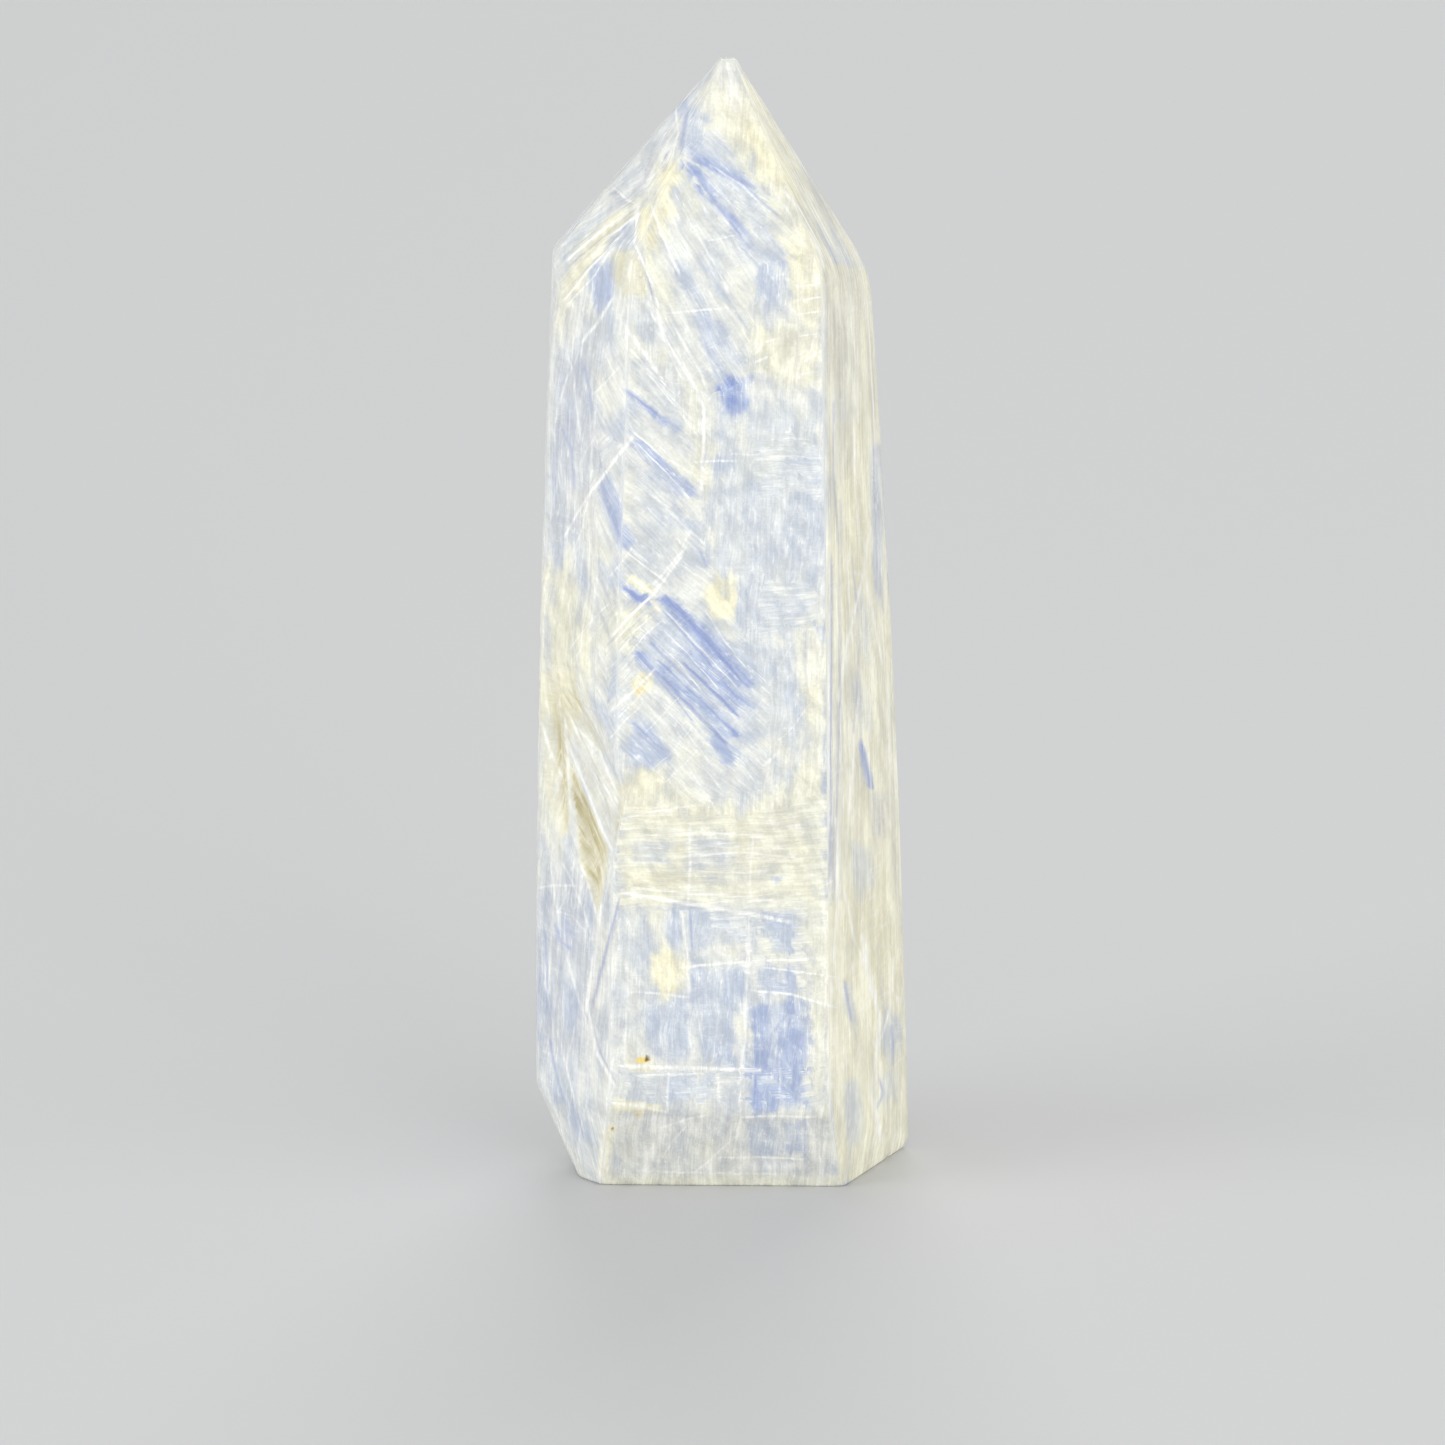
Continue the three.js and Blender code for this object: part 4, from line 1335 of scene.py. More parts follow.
@dataclass
class Painter:
    """Lays the markings on the stone's grid, as numbers that the finish reads.

    The front takes them as the camera sees them. The rear takes the same ones mirrored front to back, as
    crystals that run through the stone would show there.
    """

    view: ViewCamera = field(default_factory=ViewCamera)
    grain: Grain = field(default_factory=Grain)
    # how far the pattern's coordinates across and up a narrow side are shortened, which makes it coarser there
    narrow: dict[int, Pair] = field(default_factory=lambda: {1: (0.5, 0.3), 6: (0.6, 0.6)})
    bound: float = 12.0  # how far beside a thread its colour may reach, in view units
    bound_start: float = 0.55  # the share of that at which it starts to fade
    run_out: float = 6.0  # how far past its end a stretch of thread fades out
    bend: float = 2.0  # how far past an inner corner it stays full
    spacing: float = 26.0  # how far apart threads of one set are at least, in view units
    side_middle: float = 2.5  # the place at which a side's direction is taken
    side_gap: float = 2.0
    cap_start: float = 70.6
    cap_stretch: float = 0.14  # how much longer the pattern's coordinate up gets on the sloping top
    edge_reach: float = 5.0  # how far from an upright edge the distance to it is told

    def paint(self, grid: StoneGrid) -> dict[str, int]:
        """Stores every marking.

        Args:
            grid: The stone's grid.

        Returns:
            How many thread sets there are of each colour.
        """
        places = self.grid_places(grid)
        flat = places.reshape(-1, 2)
        front = np.broadcast_to(grid.front(), places.shape[:2]).reshape(-1)
        dots = self.soft_field(flat, chain(*DARK_DOTS.values())) * front
        for name, patches in (("blue", BLUE_PATCHES), ("cream", CREAM_PATCHES)):
            grid.store(name, *self.patch_field(flat, chain(*patches.values())), dots)
        # tan and violet grey carry painted shade in the hollow and on the foot besides the stone's own colour
        shades = (TAN_PATCHES, VIOLET_PATCHES, RUST_PATCHES)
        tan, violet, rust = (self.soft_field(flat, chain(*patches.values())) for patches in shades)
        grid.store("shades", tan * front, violet, rust * front)
        ways = (self.grain.down_right, self.grain.down_left, self.grain.level)
        grid.store("grain", *(self.soft_field(flat, part) for part in ways))
        grid.store("lay", self.lay(grid))
        grid.store("state", *self.state(grid), self.soft_field(flat, self.grain.steep))
        counts = {}
        hollow = self.soft_field(flat, [HOLLOW_AREA]) * ~front
        for name, families in (("white", WHITE_THREADS), ("ink", INK_THREADS)):
            sets = self.thread_sets(list(chain(*families.values())))
            for index, threads in enumerate(sets):
                values = self.thread_field(flat, threads)
                values[:, 1] *= 1.0 - hollow
                grid.store(f"{name}_{index}", values)
            counts[name] = len(sets)
        return counts

    def grid_places(self, grid: StoneGrid) -> Array:
        """The view place of each grid point, mirrored to the front where it is at the rear.

        Args:
            grid: The stone's grid.

        Returns:
            The view places [row, column, 2].
        """
        side, fraction = grid.columns.T
        front = grid.front() | ((side == LAST_EDGE) & (fraction == 0.0))
        mirrored = grid.points * np.array([1.0, -1.0, 1.0])
        points = np.where(front[None, :, None], grid.carved, mirrored)
        return self.view.places(points + CENTRING)

    @staticmethod
    def patch_field(places: Array, patches: Iterable[Patch]) -> tuple[Array, Array]:
        """How surely places are inside any patch, and how full the colour is there.

        Args:
            places: View places [count, 2].
            patches: The patches of one colour.

        Returns:
            The sureness, 0.5 on an outline, and the fullness.
        """
        sure, full = np.zeros(len(places)), np.zeros(len(places))
        weight = np.full(len(places), LITTLE)
        for patch in patches:
            value = smooth_step(-patch.ragged(), patch.ragged(), patch.inside(places))
            share, favour = value**2, 1 + patch.strength
            total = weight + share * favour
            blended = (full * weight + patch.strength * share * favour) / total
            full = np.where(value > 0, blended, full)
            weight = total
            sure = np.maximum(sure, value)
        return sure, full

    @staticmethod
    def soft_field(places: Array, patches: Iterable[Patch]) -> Array:
        """The fullness of softly ending patches laid over each other.

        Args:
            places: View places [count, 2].
            patches: The patches.

        Returns:
            The fullness, from 0 to 1.
        """
        clear = np.ones(len(places))
        for patch in patches:
            value = smooth_step(-patch.soft, patch.soft, patch.inside(places))
            clear *= 1.0 - np.clip(value * patch.strength, 0.0, 1.0)
        return 1.0 - clear

    def thread_sets(self, threads: list[Thread]) -> list[list[Thread]]:
        """Sorts threads into sets in which no two come close to each other.

        Args:
            threads: The threads of one colour. Their order decides the sets.

        Returns:
            The sets.
        """
        sets: list[list[Thread]] = []
        for thread in threads:
            for group in sets:
                if all(thread.gap(other) > self.spacing for other in group):
                    group.append(thread)
                    break
            else:
                sets.append([thread])
        return sets

    def thread_field(self, places: Array, threads: list[Thread]) -> Array:
        """What the finish needs to draw the threads of one set.

        Args:
            places: View places [count, 2].
            threads: The set's threads.

        Returns:
            The distance to the nearest thread with its sign, its fullness and its half width [count, 3].
        """
        nearest = np.full(len(places), np.inf)
        result = np.zeros((len(places), 3))
        for thread in threads:
            corners = np.array(thread.places, dtype=float)
            ends = (0, len(corners) - 2)
            for index, (start, end) in enumerate(zip(corners, corners[1:])):
                length = np.linalg.norm(end - start)
                way = (end - start) / length
                offset = places - start
                along = offset @ way
                aside = offset[:, 0] * way[1] - offset[:, 1] * way[0]
                over = np.maximum(np.maximum(-along, along - length), 0.0)
                true = np.hypot(aside, over)
                fade = 1.0 - smooth_step(0.0 if index in ends else self.bend, self.run_out, over)
                fade = fade * (1.0 - smooth_step(self.bound_start * self.bound, self.bound, np.abs(aside)))
                closer = true < nearest
                nearest = np.where(closer, true, nearest)
                result[closer, 0] = aside[closer]
                result[closer, 1] = (thread.strength * fade)[closer]
                result[closer, 2] = thread.width / 2
        return result

    def lay(self, grid: StoneGrid) -> Array:
        """Flat coordinates on each side of the stone, for the finish's noises.

        Args:
            grid: The stone's grid.

        Returns:
            In millimetres the place across the side and up it, and a number of the side's own [row, column, 3].
        """
        middle = grid.points[np.argmin(np.abs(grid.rows - self.side_middle))]
        starts = grid.starts()
        result = np.zeros(grid.points.shape)
        travelled = middle[starts[0], 0]
        for side in range(len(starts)):
            first, after = starts[side], starts[(side + 1) % len(starts)]
            way = unit((middle[after] - middle[first]) * FLAT)
            own = grid.columns[:, 0] == side
            offset = grid.points[:, own] - middle[first]
            share, length = self.narrow.get(side, (1.0, 1.0))
            turn = 1.0 if side in FRONT_SIDES else -1.0  # the rear's pattern is mirrored
            result[:, own, 0] = (travelled + (offset @ way) * share) * turn
            result[:, own, 1] = grid.points[:, own, 2] * length
            travelled += np.linalg.norm((middle[after] - middle[first])[:2]) * share
            result[:, own, 2] = self.side_gap * side
        slope = grid.points[..., 2] - self.cap_start
        result[..., 1] += np.where(slope > 0.0, slope * self.cap_stretch, 0.0)
        return result

    def state(self, grid: StoneGrid) -> tuple[Array, Array]:
        """How hollowed and how near an upright edge each grid point is.

        Args:
            grid: The stone's grid.

        Returns:
            How far it went in, up to 1 mm, and its distance from the nearest edge.
        """
        near = np.full(grid.points.shape[:2], self.edge_reach)
        for start in grid.starts():
            near = np.minimum(near, np.linalg.norm(grid.points - grid.points[:, start : start + 1], axis=-1))
        return np.clip(grid.sunk, 0.0, 1.0).reshape(-1), near.reshape(-1)


# ---------------------------------------- finish


Span = tuple[float, float, float, float]  # a change of range: from low and high, to what they become
Colour = tuple[float, float, float, float]
SHIFT_UP = 0.37  # how much of a noise's shift goes upward


def shade(red: int, green: int, blue: int) -> Colour:
    """A screen colour as the linear colour that a shader takes."""
    linear = [c / 255 / 12.92 if c <= 10 else ((c / 255 + 0.055) / 1.055) ** 2.4 for c in (red, green, blue)]
    return (*linear, 1.0)


@dataclass(frozen=True)
class Cells:
    """A noise: its cells in a millimetre across and along the crystals, its detail and its roughness.

    One that keeps to a direction of its own instead has a lean from upright, in degrees, and a shift that sets
    it apart from the others.
    """

    across: float = 1.0
    along: float = 1.0
    detail: float = 2.0
    rough: float = 0.5
    lean: float = 0.0
    shift: float = 0.0


class GrainWay(Enum):
    """The directions of the crystals. A positive lean goes to the left."""

    UPRIGHT = Cells(lean=-3.0, shift=41.9)
    DOWN_RIGHT = Cells(lean=47.0, shift=3.1)
    DOWN_LEFT = Cells(lean=-46.0, shift=17.3)
    LEVEL = Cells(lean=92.0, shift=29.7)
    STEEP = Cells(lean=29.0, shift=63.1)


@dataclass
class Board:
    """A material's nodes, put together by short calls."""

    name: str

    def __post_init__(self) -> None:
        """Starts the material."""
        self.material = bpy.data.materials.new(self.name)
        self.material.use_nodes = True
        self.tree = self.material.node_tree
        self.shader = self.tree.nodes["Principled BSDF"]

    def feed(self, socket: Socket, value: object) -> None:
        """Feeds a node.

        Args:
            socket: The node's input.
            value: Another node's output, which is linked to it, or a constant.
        """
        if isinstance(value, Socket):
            self.tree.links.new(value, socket)
        else:
            socket.default_value = value

    def fed(self, kind: str, inputs: dict[int | str, object], **settings: object) -> bpy.types.Node:
        """Adds a node and feeds it.

        Args:
            kind: The node's type.
            inputs: What its inputs take, by name or number.
            settings: What is set on it, by name.

        Returns:
            The node.
        """
        node = self.tree.nodes.new(kind)
        for key, value in settings.items():
            setattr(node, key, value)
        for key, value in inputs.items():
            self.feed(node.inputs[key], value)
        return node

    def math(self, operation: str, *values: object, clamp: bool = False) -> Socket:
        """One arithmetic step on numbers."""
        inputs = dict(enumerate(values))
        return self.fed("ShaderNodeMath", inputs, operation=operation, use_clamp=clamp).outputs[0]

    def times(self, first: object, second: object, clamp: bool = False) -> Socket:
        """Two numbers multiplied."""
        return self.math("MULTIPLY", first, second, clamp=clamp)

    def plus(self, first: object, second: object, clamp: bool = False) -> Socket:
        """Two numbers added."""
        return self.math("ADD", first, second, clamp=clamp)

    def swing(self, noise: Socket, reach: float) -> Socket:
        """A noise around 0.5 made one around 0, with this reach."""
        return self.times(self.math("SUBTRACT", noise, 0.5), reach)

    def weigh(self, parts: Iterable[tuple[Socket, float]]) -> Socket:
        """The sum of values by their weights.

        Args:
            parts: Each value with its weight.

        Returns:
            The sum.
        """
        total: object = 0.0
        for value, weight in parts:
            total = self.math("MULTIPLY_ADD", value, weight, total)
        return total

    def step(self, value: Socket, low: object, high: object) -> Socket:
        """A soft step from 0 at low to 1 at high."""
        inputs = {"Value": value, "From Min": low, "From Max": high}
        return self.fed("ShaderNodeMapRange", inputs, interpolation_type="SMOOTHSTEP").outputs["Result"]

    def spread(self, value: Socket, span: Span) -> Socket:
        """A straight change of range, held to its ends."""
        inputs = {"Value": value, **dict(zip(("From Min", "From Max", "To Min", "To Max"), span))}
        return self.fed("ShaderNodeMapRange", inputs).outputs["Result"]

    def mix(self, share: object, first: object, second: object) -> Socket:
        """One colour over another."""
        return self.fed("ShaderNodeMix", {0: share, 6: first, 7: second}, data_type="RGBA").outputs[2]

    def vector(self, name: str) -> Socket:
        """The vector stored on the stone under a name."""
        return self.fed("ShaderNodeAttribute", {}, attribute_name=name).outputs["Vector"]

    def numbers(self, name: str) -> list[Socket]:
        """The three numbers stored on the stone under a name."""
        return list(self.fed("ShaderNodeSeparateXYZ", {0: self.vector(name)}).outputs)

    def noise(self, place: Socket, detail: float, rough: float, scale: float = 1.0) -> Socket:
        """Soft noise around 0.5."""
        inputs = {"Vector": place, "Scale": scale, "Detail": detail, "Roughness": rough}
        return self.fed("ShaderNodeTexNoise", inputs, noise_dimensions="2D").outputs["Fac"]

    def bent(self, place: Socket, scale: float, detail: float, reach: float) -> Socket:
        """A place moved about by a noise.

        Args:
            place: The place.
            scale: The noise's cells in a millimetre.
            detail: The noise's detail.
            reach: How far it moves the place at most.

        Returns:
            The moved place.
        """
        inputs = {"Vector": place, "Scale": scale, "Detail": detail}
        noise = self.fed("ShaderNodeTexNoise", inputs, noise_dimensions="2D").outputs["Color"]
        inputs = {0: noise, 1: (reach, reach, 0.0), 2: place}
        return self.fed("ShaderNodeVectorMath", inputs, operation="MULTIPLY_ADD").outputs[0]

    def turned(self, place: Socket, cells: Cells) -> Socket:
        """A place turned to a direction and stretched along it.

        Args:
            place: The place.
            cells: The direction, and how many cells there are across it and along it.

        Returns:
            The place to give to a noise.
        """
        inputs = {
            "Vector": place,
            "Location": (cells.shift, cells.shift * SHIFT_UP, 0.0),
            "Rotation": (0.0, 0.0, math.radians(cells.lean)),
            "Scale": (1.0 / cells.across, 1.0 / cells.along, 1.0),
        }
        return self.fed("ShaderNodeMapping", inputs, vector_type="TEXTURE").outputs[0]

    def stretched(self, place: Socket, cells: Cells) -> Socket:
        """A place in the crystals' own directions, as so many noise cells in a millimetre each way."""
        inputs = {0: place, 1: (cells.across, cells.along, 1.0)}
        return self.fed("ShaderNodeVectorMath", inputs, operation="MULTIPLY").outputs[0]

    def speckle(self, place: Socket, cells: Cells) -> Socket:
        """Soft noise around 0.5 in such cells."""
        turn = self.turned if cells.lean else self.stretched
        return self.noise(turn(place, cells), cells.detail, cells.rough)


@dataclass(frozen=True)
class KyaniteColours:
    """The stone's colours."""

    milk: Colour = shade(229, 231, 225)
    haze: Colour = shade(200, 206, 212)
    blue: Colour = shade(182, 197, 224)
    deep: Colour = shade(134, 153, 208)
    ink: Colour = shade(142, 155, 202)
    cream: Colour = shade(248, 244, 211)
    straw: Colour = shade(220, 212, 172)
    # tan and violet are also laid as painted shade in the hollow and on the foot
    tan: Colour = shade(230, 225, 192)
    # painted shade in the hollow's deep parts
    hollow_shade_brown: Colour = shade(190, 179, 133)
    violet: Colour = shade(182, 184, 200)
    white: Colour = shade(253, 253, 248)
    rust: Colour = shade(240, 214, 122)
    umber: Colour = shade(110, 90, 60)


@dataclass
class KyaniteFinish(Board):
    """The polished stone's look: crossing blades and fibres of blue, milky white and cream.

    A field that ends in step holds the two values between which a layer comes in, one in share how much of it
    there is, and one in span a change of range.
    """

    thread_sets: dict[str, int]
    colours: KyaniteColours = field(default_factory=KyaniteColours)
    mottle_cells: Cells = Cells(1.0, 0.6, 2.0, 0.5, 30.0, 77.0)
    warm_cells: Cells = Cells(0.35, 0.2, 2.0, 0.6, 20.0, 55.0)
    broad_cells: Cells = Cells(0.95, 0.09)
    fine_cells: Cells = Cells(3.3, 0.3, 2.0, 0.6)
    hair_cells: Cells = Cells(2.2, 0.17, 2.0, 0.6)
    cross_cells: Cells = Cells(0.2, 2.4, 2.0, 0.6)
    # painted glints: the noise whose rare high spots become small white highlights
    glint_cells: Cells = Cells(3.2, 1.3, 1.0, 0.5)
    scratch_cells: Cells = Cells(2.2, 0.35, 1.0, 0.6)
    blade_cells: Cells = Cells(0.75, 0.17)
    clouds: tuple[float, float, float] = (4.0, 0.6, 0.3)  # detail, roughness and cells in a millimetre
    grains: tuple[float, float, float] = (1.0, 0.6, 4.2)
    bend: tuple[float, float, float] = (0.13, 3.0, 1.2)  # cells in a millimetre, detail and reach
    blade_bend: tuple[float, float, float] = (1.6, 1.0, 0.5)
    drift_weights: Point = (0.4, 0.3, 0.3)  # of the broad fibres, the mottling and the crystals
    tone_weights: Pair = (0.6, 0.4)  # of that drift and the clouds
    crystal_span: Span = (0.0, 1.0, 0.38, 0.62)
    milk_step: Pair = (0.36, 0.61)
    warm_step: Pair = (0.48, 0.72)
    warm_share: float = 0.3
    blue_fray: float = -2.8
    blue_step: Pair = (0.1, 0.9)
    deep_step: Pair = (0.6, 0.4)
    deep_full_step: Pair = (0.3, 0.95)
    cream_fray: float = 2.4
    cream_step: Pair = (0.1, 0.95)
    cream_on_blue: float = -0.75
    straw_step: Pair = (0.56, 0.44)
    straw_share: float = 0.5
    violet_span: Span = (0.35, 0.65, 1.0, 0.4)
    tan_span: Span = (0.35, 0.65, 1.0, 0.5)
    # where the painted brown shade comes in: with the hollow's depth and with the tan
    hollow_shade_span: Span = (0.35, 0.65, 0.95, 0.35)
    hollow_shade_depth_step: Pair = (0.25, 0.75)
    hollow_shade_tan_step: Pair = (0.5, 1.0)
    hair_step: Pair = (0.035, 0.0)
    hair_span: Span = (0.42, 0.6, 0.08, 0.45)
    hair_on_blue: float = 0.15
    cross_step: Pair = (0.42, 0.58)
    cross_share: float = 0.22
    # where the painted glints come in, and how white they get
    glint_step: Pair = (0.7, 0.78)
    glint_share: float = 0.35
    thread_sway: float = 2.2
    thread_step: Pair = (1.35, 0.1)  # in half widths of the thread
    thread_span: Span = (0.4, 0.56, 0.45, 1.0)
    fibre_span: Span = (0.34, 0.66, 0.93, 1.03)
    spot_span: Span = (0.36, 0.64, 0.925, 1.025)
    grain_span: Span = (0.3, 0.7, 0.95, 1.04)
    worn_fray: float = 0.2
    worn_step: Pair = (0.45, 0.12)
    worn_share: float = 0.12
    rust_step: Pair = (0.1, 0.8)
    dot_step: Pair = (0.4, 0.9)
    gloss_span: Span = (0.3, 0.7, 0.18, 0.34)
    hollow_step: Pair = (0.0, 0.2)
    hollow_rough: float = 0.35
    refraction: float = 1.6
    scratch_strength: float = 0.3
    scratch_depth: float = 0.1  # in millimetres
    place: Socket = field(init=False)  # on the stone, bent so that no fibre is quite straight
    grained: Socket = field(init=False)  # in the crystals' own directions: across them, then along
    mottle: Socket = field(init=False)  # noise of no direction
    broad: Socket = field(init=False)  # the broad fibres
    fine: Socket = field(init=False)

    def build(self) -> bpy.types.Material:
        """Makes the material.

        Returns:
            The material.
        """
        self.place = self.bent(self.vector("lay"), *self.bend)
        self.mottle = self.speckle(self.place, self.mottle_cells)
        self.grained = self.along_crystals()
        self.broad = self.speckle(self.grained, self.broad_cells)
        self.fine = self.speckle(self.grained, self.fine_cells)
        self.feed(self.shader.inputs["Base Color"], self.colour())
        self.surface()
        return self.material

    def along_crystals(self) -> Socket:
        """Turns the place to the crystals' directions, with frayed borders between one and the next.

        Returns:
            The turned place.
        """
        down_right, down_left, level = self.numbers("grain")
        shares = {
            GrainWay.LEVEL: level,
            GrainWay.STEEP: self.numbers("state")[2],
            GrainWay.DOWN_RIGHT: down_right,
            GrainWay.DOWN_LEFT: down_left,
        }
        fray = self.swing(self.mottle, 1.0)
        result = self.turned(self.place, GrainWay.UPRIGHT.value)
        for way, share in shares.items():
            chosen = self.math("GREATER_THAN", self.plus(share, fray), 0.5)
            inputs = {0: chosen, 4: result, 5: self.turned(self.place, way.value)}
            result = self.fed("ShaderNodeMix", inputs, data_type="VECTOR").outputs[1]
        return result

    def hairs(self, cells: Cells) -> Socket:
        """Thin pale hairlines, from 0 to 1."""
        ridge = self.math("ABSOLUTE", self.math("SUBTRACT", self.speckle(self.grained, cells), 0.5))
        return self.step(ridge, *self.hair_step)

    def blades(self) -> Socket:
        """Long narrow crystals, each with a tone of its own.

        Returns:
            The tone, from 0 to 1.
        """
        place = self.stretched(self.bent(self.grained, *self.blade_bend), self.blade_cells)
        cells = self.fed("ShaderNodeTexVoronoi", {"Vector": place, "Scale": 1.0}, voronoi_dimensions="2D")
        return self.fed("ShaderNodeSeparateColor", {0: cells.outputs["Color"]}).outputs[0]

    def colour(self) -> Socket:
        """The stone's colour, layer over layer.

        Returns:
            The colour.
        """
        hues = self.colours
        hollow, edge, _ = self.numbers("state")
        clouds = self.noise(self.place, *self.clouds)
        crystal = self.spread(self.blades(), self.crystal_span)
        drift = self.weigh(zip((self.broad, self.mottle, crystal), self.drift_weights))
        tone = self.weigh(zip((drift, clouds), self.tone_weights))
        colour = self.mix(self.step(tone, *self.milk_step), hues.haze, hues.milk)
        # warm clouds in the milky parts
        warm = self.step(self.speckle(self.place, self.warm_cells), *self.warm_step)
        colour = self.mix(self.times(warm, self.warm_share), colour, hues.cream)
        # blue, and the darker blue in its fullest parts
        sure, full, dots = self.numbers("blue")
        ragged = self.plus(sure, self.swing(drift, self.blue_fray))
        blue = self.times(self.step(ragged, *self.blue_step), full, clamp=True)
        colour = self.mix(blue, colour, hues.blue)
        deep = self.times(self.step(drift, *self.deep_step), self.step(full, *self.deep_full_step))
        colour = self.mix(self.times(deep, blue), colour, hues.deep)
        # cream, held back on the blue
        sure, full, _ = self.numbers("cream")
        ragged = self.plus(sure, self.swing(drift, self.cream_fray))
        clear = self.math("MULTIPLY_ADD", blue, self.cream_on_blue, 1.0)
        cream = self.times(self.times(self.step(ragged, *self.cream_step), full), clear, clamp=True)
        straw = self.times(self.step(drift, *self.straw_step), self.straw_share)
        colour = self.mix(cream, colour, self.mix(straw, hues.cream, hues.straw))
        # grey, tan and brown; the brown and some of the grey and tan are painted shade in the hollow
        tan, violet, rust = self.numbers("shades")
        hollow_shade_brown = self.times(self.step(hollow, *self.hollow_shade_depth_step), self.step(tan, *self.hollow_shade_tan_step))
        layers = (
            (violet, self.violet_span, hues.violet),
            (tan, self.tan_span, hues.tan),
            (hollow_shade_brown, self.hollow_shade_span, hues.hollow_shade_brown),
        )
        for share, span, hue in layers:
            colour = self.mix(self.times(share, self.spread(self.fine, span)), colour, hue)
        colour = self.mix(self.lines(clouds, blue), colour, hues.white)
        for name, hue in (("ink", hues.ink), ("white", hues.white)):
            for index in range(self.thread_sets[name]):
                colour = self.mix(self.thread(f"{name}_{index}"), colour, hue)
        colour = self.lit(colour)
        # pale worn edges, then the spots
        worn = self.step(self.plus(edge, self.times(self.fine, self.worn_fray)), *self.worn_step)
        colour = self.mix(self.times(worn, self.worn_share), colour, hues.white)
        colour = self.mix(self.step(rust, *self.rust_step), colour, hues.rust)
        return self.mix(self.step(dots, *self.dot_step), colour, hues.umber)

    def lines(self, clouds: Socket, blue: Socket) -> Socket:
        """The pale hairlines along and across the crystals, and small white spots painted as glints.

        Args:
            clouds: Noise that leaves the crossing hairlines out in places.
            blue: How blue the stone is, since the hairlines are fuller there.

        Returns:
            How much they cover.
        """
        amount = self.plus(self.times(blue, self.hair_on_blue), self.spread(self.mottle, self.hair_span))
        hairs = self.times(self.hairs(self.hair_cells), amount)
        patchy = self.times(self.step(clouds, *self.cross_step), self.cross_share)
        cross = self.times(self.hairs(self.cross_cells), patchy)
        # painted highlights: sparse white spots that stand for glints on the polish
        glints = self.step(self.speckle(self.grained, self.glint_cells), *self.glint_step)
        return self.plus(self.plus(hairs, self.times(glints, self.glint_share)), cross, clamp=True)

    def lit(self, colour: Socket) -> Socket:
        """A colour made a little lighter and darker by fibres, spots and grains, with its hue kept.

        Args:
            colour: The colour.

        Returns:
            The colour.
        """
        fibres = self.spread(self.fine, self.fibre_span)
        spots = self.spread(self.mottle, self.spot_span)
        grains = self.spread(self.noise(self.place, *self.grains), self.grain_span)
        scale = self.times(fibres, self.times(spots, grains))
        return self.fed("ShaderNodeVectorMath", {0: colour, "Scale": scale}, operation="SCALE").outputs[0]

    def thread(self, name: str) -> Socket:
        """How much one set of threads covers.

        Args:
            name: The name under which the set is stored on the stone.

        Returns:
            How much, from 0 to 1.
        """
        distance, full, half = self.numbers(name)
        bent = self.math("ABSOLUTE", self.plus(distance, self.swing(self.mottle, self.thread_sway)))
        outer, inner = (self.times(half, share) for share in self.thread_step)
        breaks = self.spread(self.fine, self.thread_span)
        return self.times(self.step(bent, outer, inner), self.times(full, breaks), clamp=True)

    def surface(self) -> None:
        """The polish: its gloss and its faint scratches."""
        inputs = self.shader.inputs
        dull = self.times(self.step(self.numbers("state")[0], *self.hollow_step), self.hollow_rough)
        self.feed(inputs["Roughness"], self.plus(self.spread(self.fine, self.gloss_span), dull))
        self.feed(inputs["IOR"], self.refraction)
        height = self.speckle(self.grained, self.scratch_cells)
        bump = {"Strength": self.scratch_strength, "Distance": self.scratch_depth * MM, "Height": height}
        self.feed(inputs["Normal"], self.fed("ShaderNodeBump", bump).outputs[0])


# ---------------------------------------- studio


@dataclass(frozen=True)
class SoftLight:
    """A square soft box: where it hangs, what it faces, its side and its power, in metres and watts."""

    place: Point
    aim: Point
    side: float
    watts: float

    def build(self, name: str) -> bpy.types.Object:
        """Makes the light.

        Args:
            name: The light's name.

        Returns:
            The light.
        """
        data = bpy.data.lights.new(name, "AREA")
        data.shape = "SQUARE"
        data.size = self.side
        data.energy = self.watts
        light = placed(name, data)
        light.location = self.place
        way = Vector(self.aim) - Vector(self.place)
        light.rotation_euler = way.to_track_quat("-Z", "Y").to_euler()
        return light


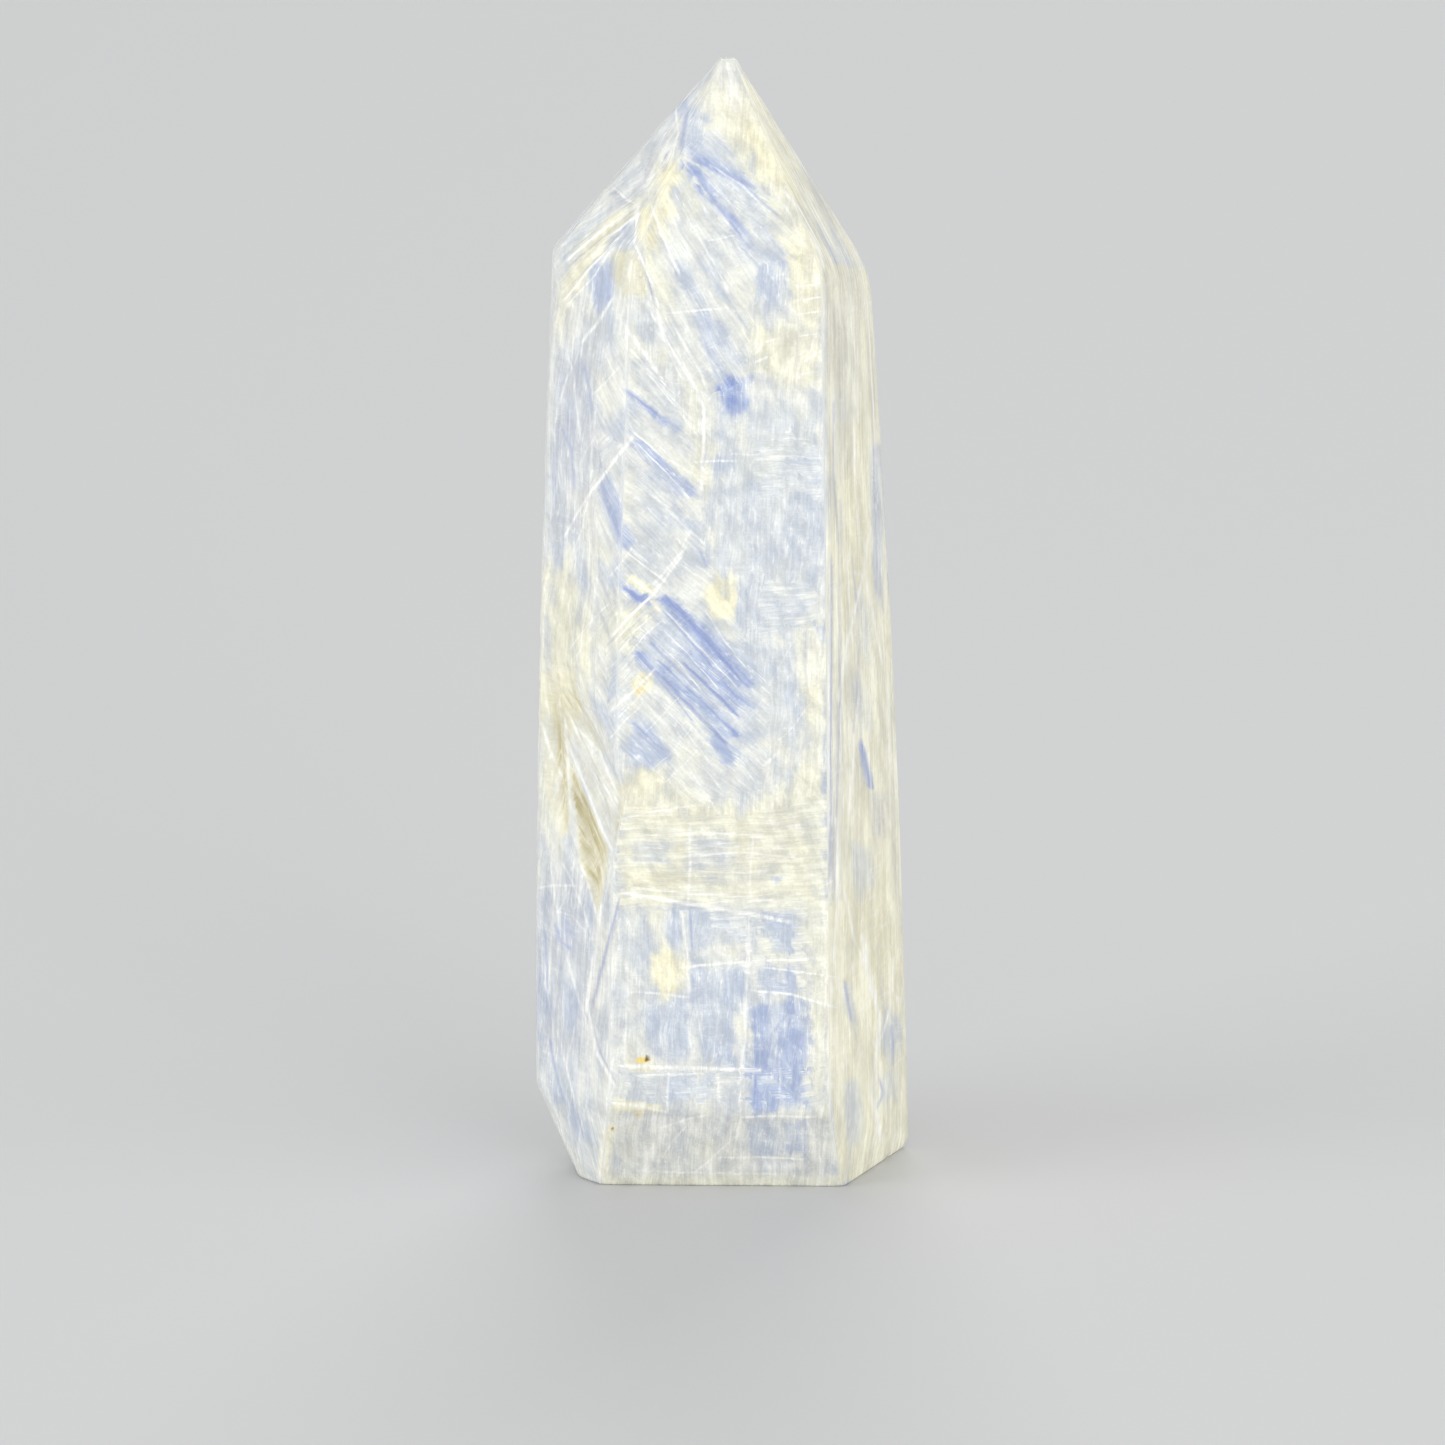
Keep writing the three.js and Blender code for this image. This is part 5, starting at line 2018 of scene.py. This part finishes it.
@dataclass
class Studio:
    """The plain floor and the soft lights."""

    floor_side: float = 6.0
    floor_colour: Point = (0.6, 0.605, 0.61)
    floor_rough: float = 0.6
    sky_strength: float = 0.6
    lights: dict[str, SoftLight] = field(
        default_factory=lambda: {
            "key_light": SoftLight((-0.35, -0.75, 0.75), (0.0, 0.0, 0.04), 0.55, 0.3),
            "side_light": SoftLight((0.75, -0.45, 0.45), (0.0, 0.0, 0.04), 0.9, 2.6),
            "left_light": SoftLight((-0.8, -0.3, 0.2), (0.0, 0.0, 0.03), 0.6, 4.5),
            "low_light": SoftLight((0.42, -0.85, 0.13), (0.0, 0.0, 0.02), 0.38, 3.0),
            "rear_light": SoftLight((0.1, 0.8, 0.7), (0.0, 0.0, 0.05), 0.6, 2.4),
        }
    )

    def build(self) -> None:
        """Makes the floor, the sky and the lights."""
        half = self.floor_side / 2
        data = bpy.data.meshes.new("studio_floor")
        corners = [(-half, -half, 0.0), (half, -half, 0.0), (half, half, 0.0), (-half, half, 0.0)]
        data.from_pydata(corners, [], [(0, 1, 2, 3)])
        floor = placed("studio_floor", data)
        board = Board("pale_floor")
        board.feed(board.shader.inputs["Base Color"], (*self.floor_colour, 1.0))
        board.feed(board.shader.inputs["Roughness"], self.floor_rough)
        data.materials.append(board.material)
        world = bpy.data.worlds.new("pale_room")
        world.use_nodes = True
        sky = world.node_tree.nodes["Background"]
        sky.inputs["Color"].default_value = (1.0, 1.0, 1.0, 1.0)
        sky.inputs["Strength"].default_value = self.sky_strength
        bpy.context.scene.world = world
        for name, light in self.lights.items():
            light.build(name)
        bpy.context.scene.view_settings.view_transform = "Standard"


# ---------------------------------------- main


def main() -> None:
    """Builds the stone and its studio around the frame."""
    logging.basicConfig(level=logging.INFO, format="%(name)s: %(message)s")
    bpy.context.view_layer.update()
    ViewCamera().build()
    grid = Tower().build()
    sets = Painter().paint(grid)
    stone = grid.stone
    stone.data.materials.append(KyaniteFinish(SLOT, sets).build())
    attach(stone, "root")
    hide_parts(CAD_NODE)
    counts = len(stone.data.vertices), len(stone.data.polygons)
    LOG.info("stone: %d vertices, %d faces, thread sets %s", *counts, sets)
    Studio().build()
    bpy.context.view_layer.update()


if __name__ == "__main__":
    main()
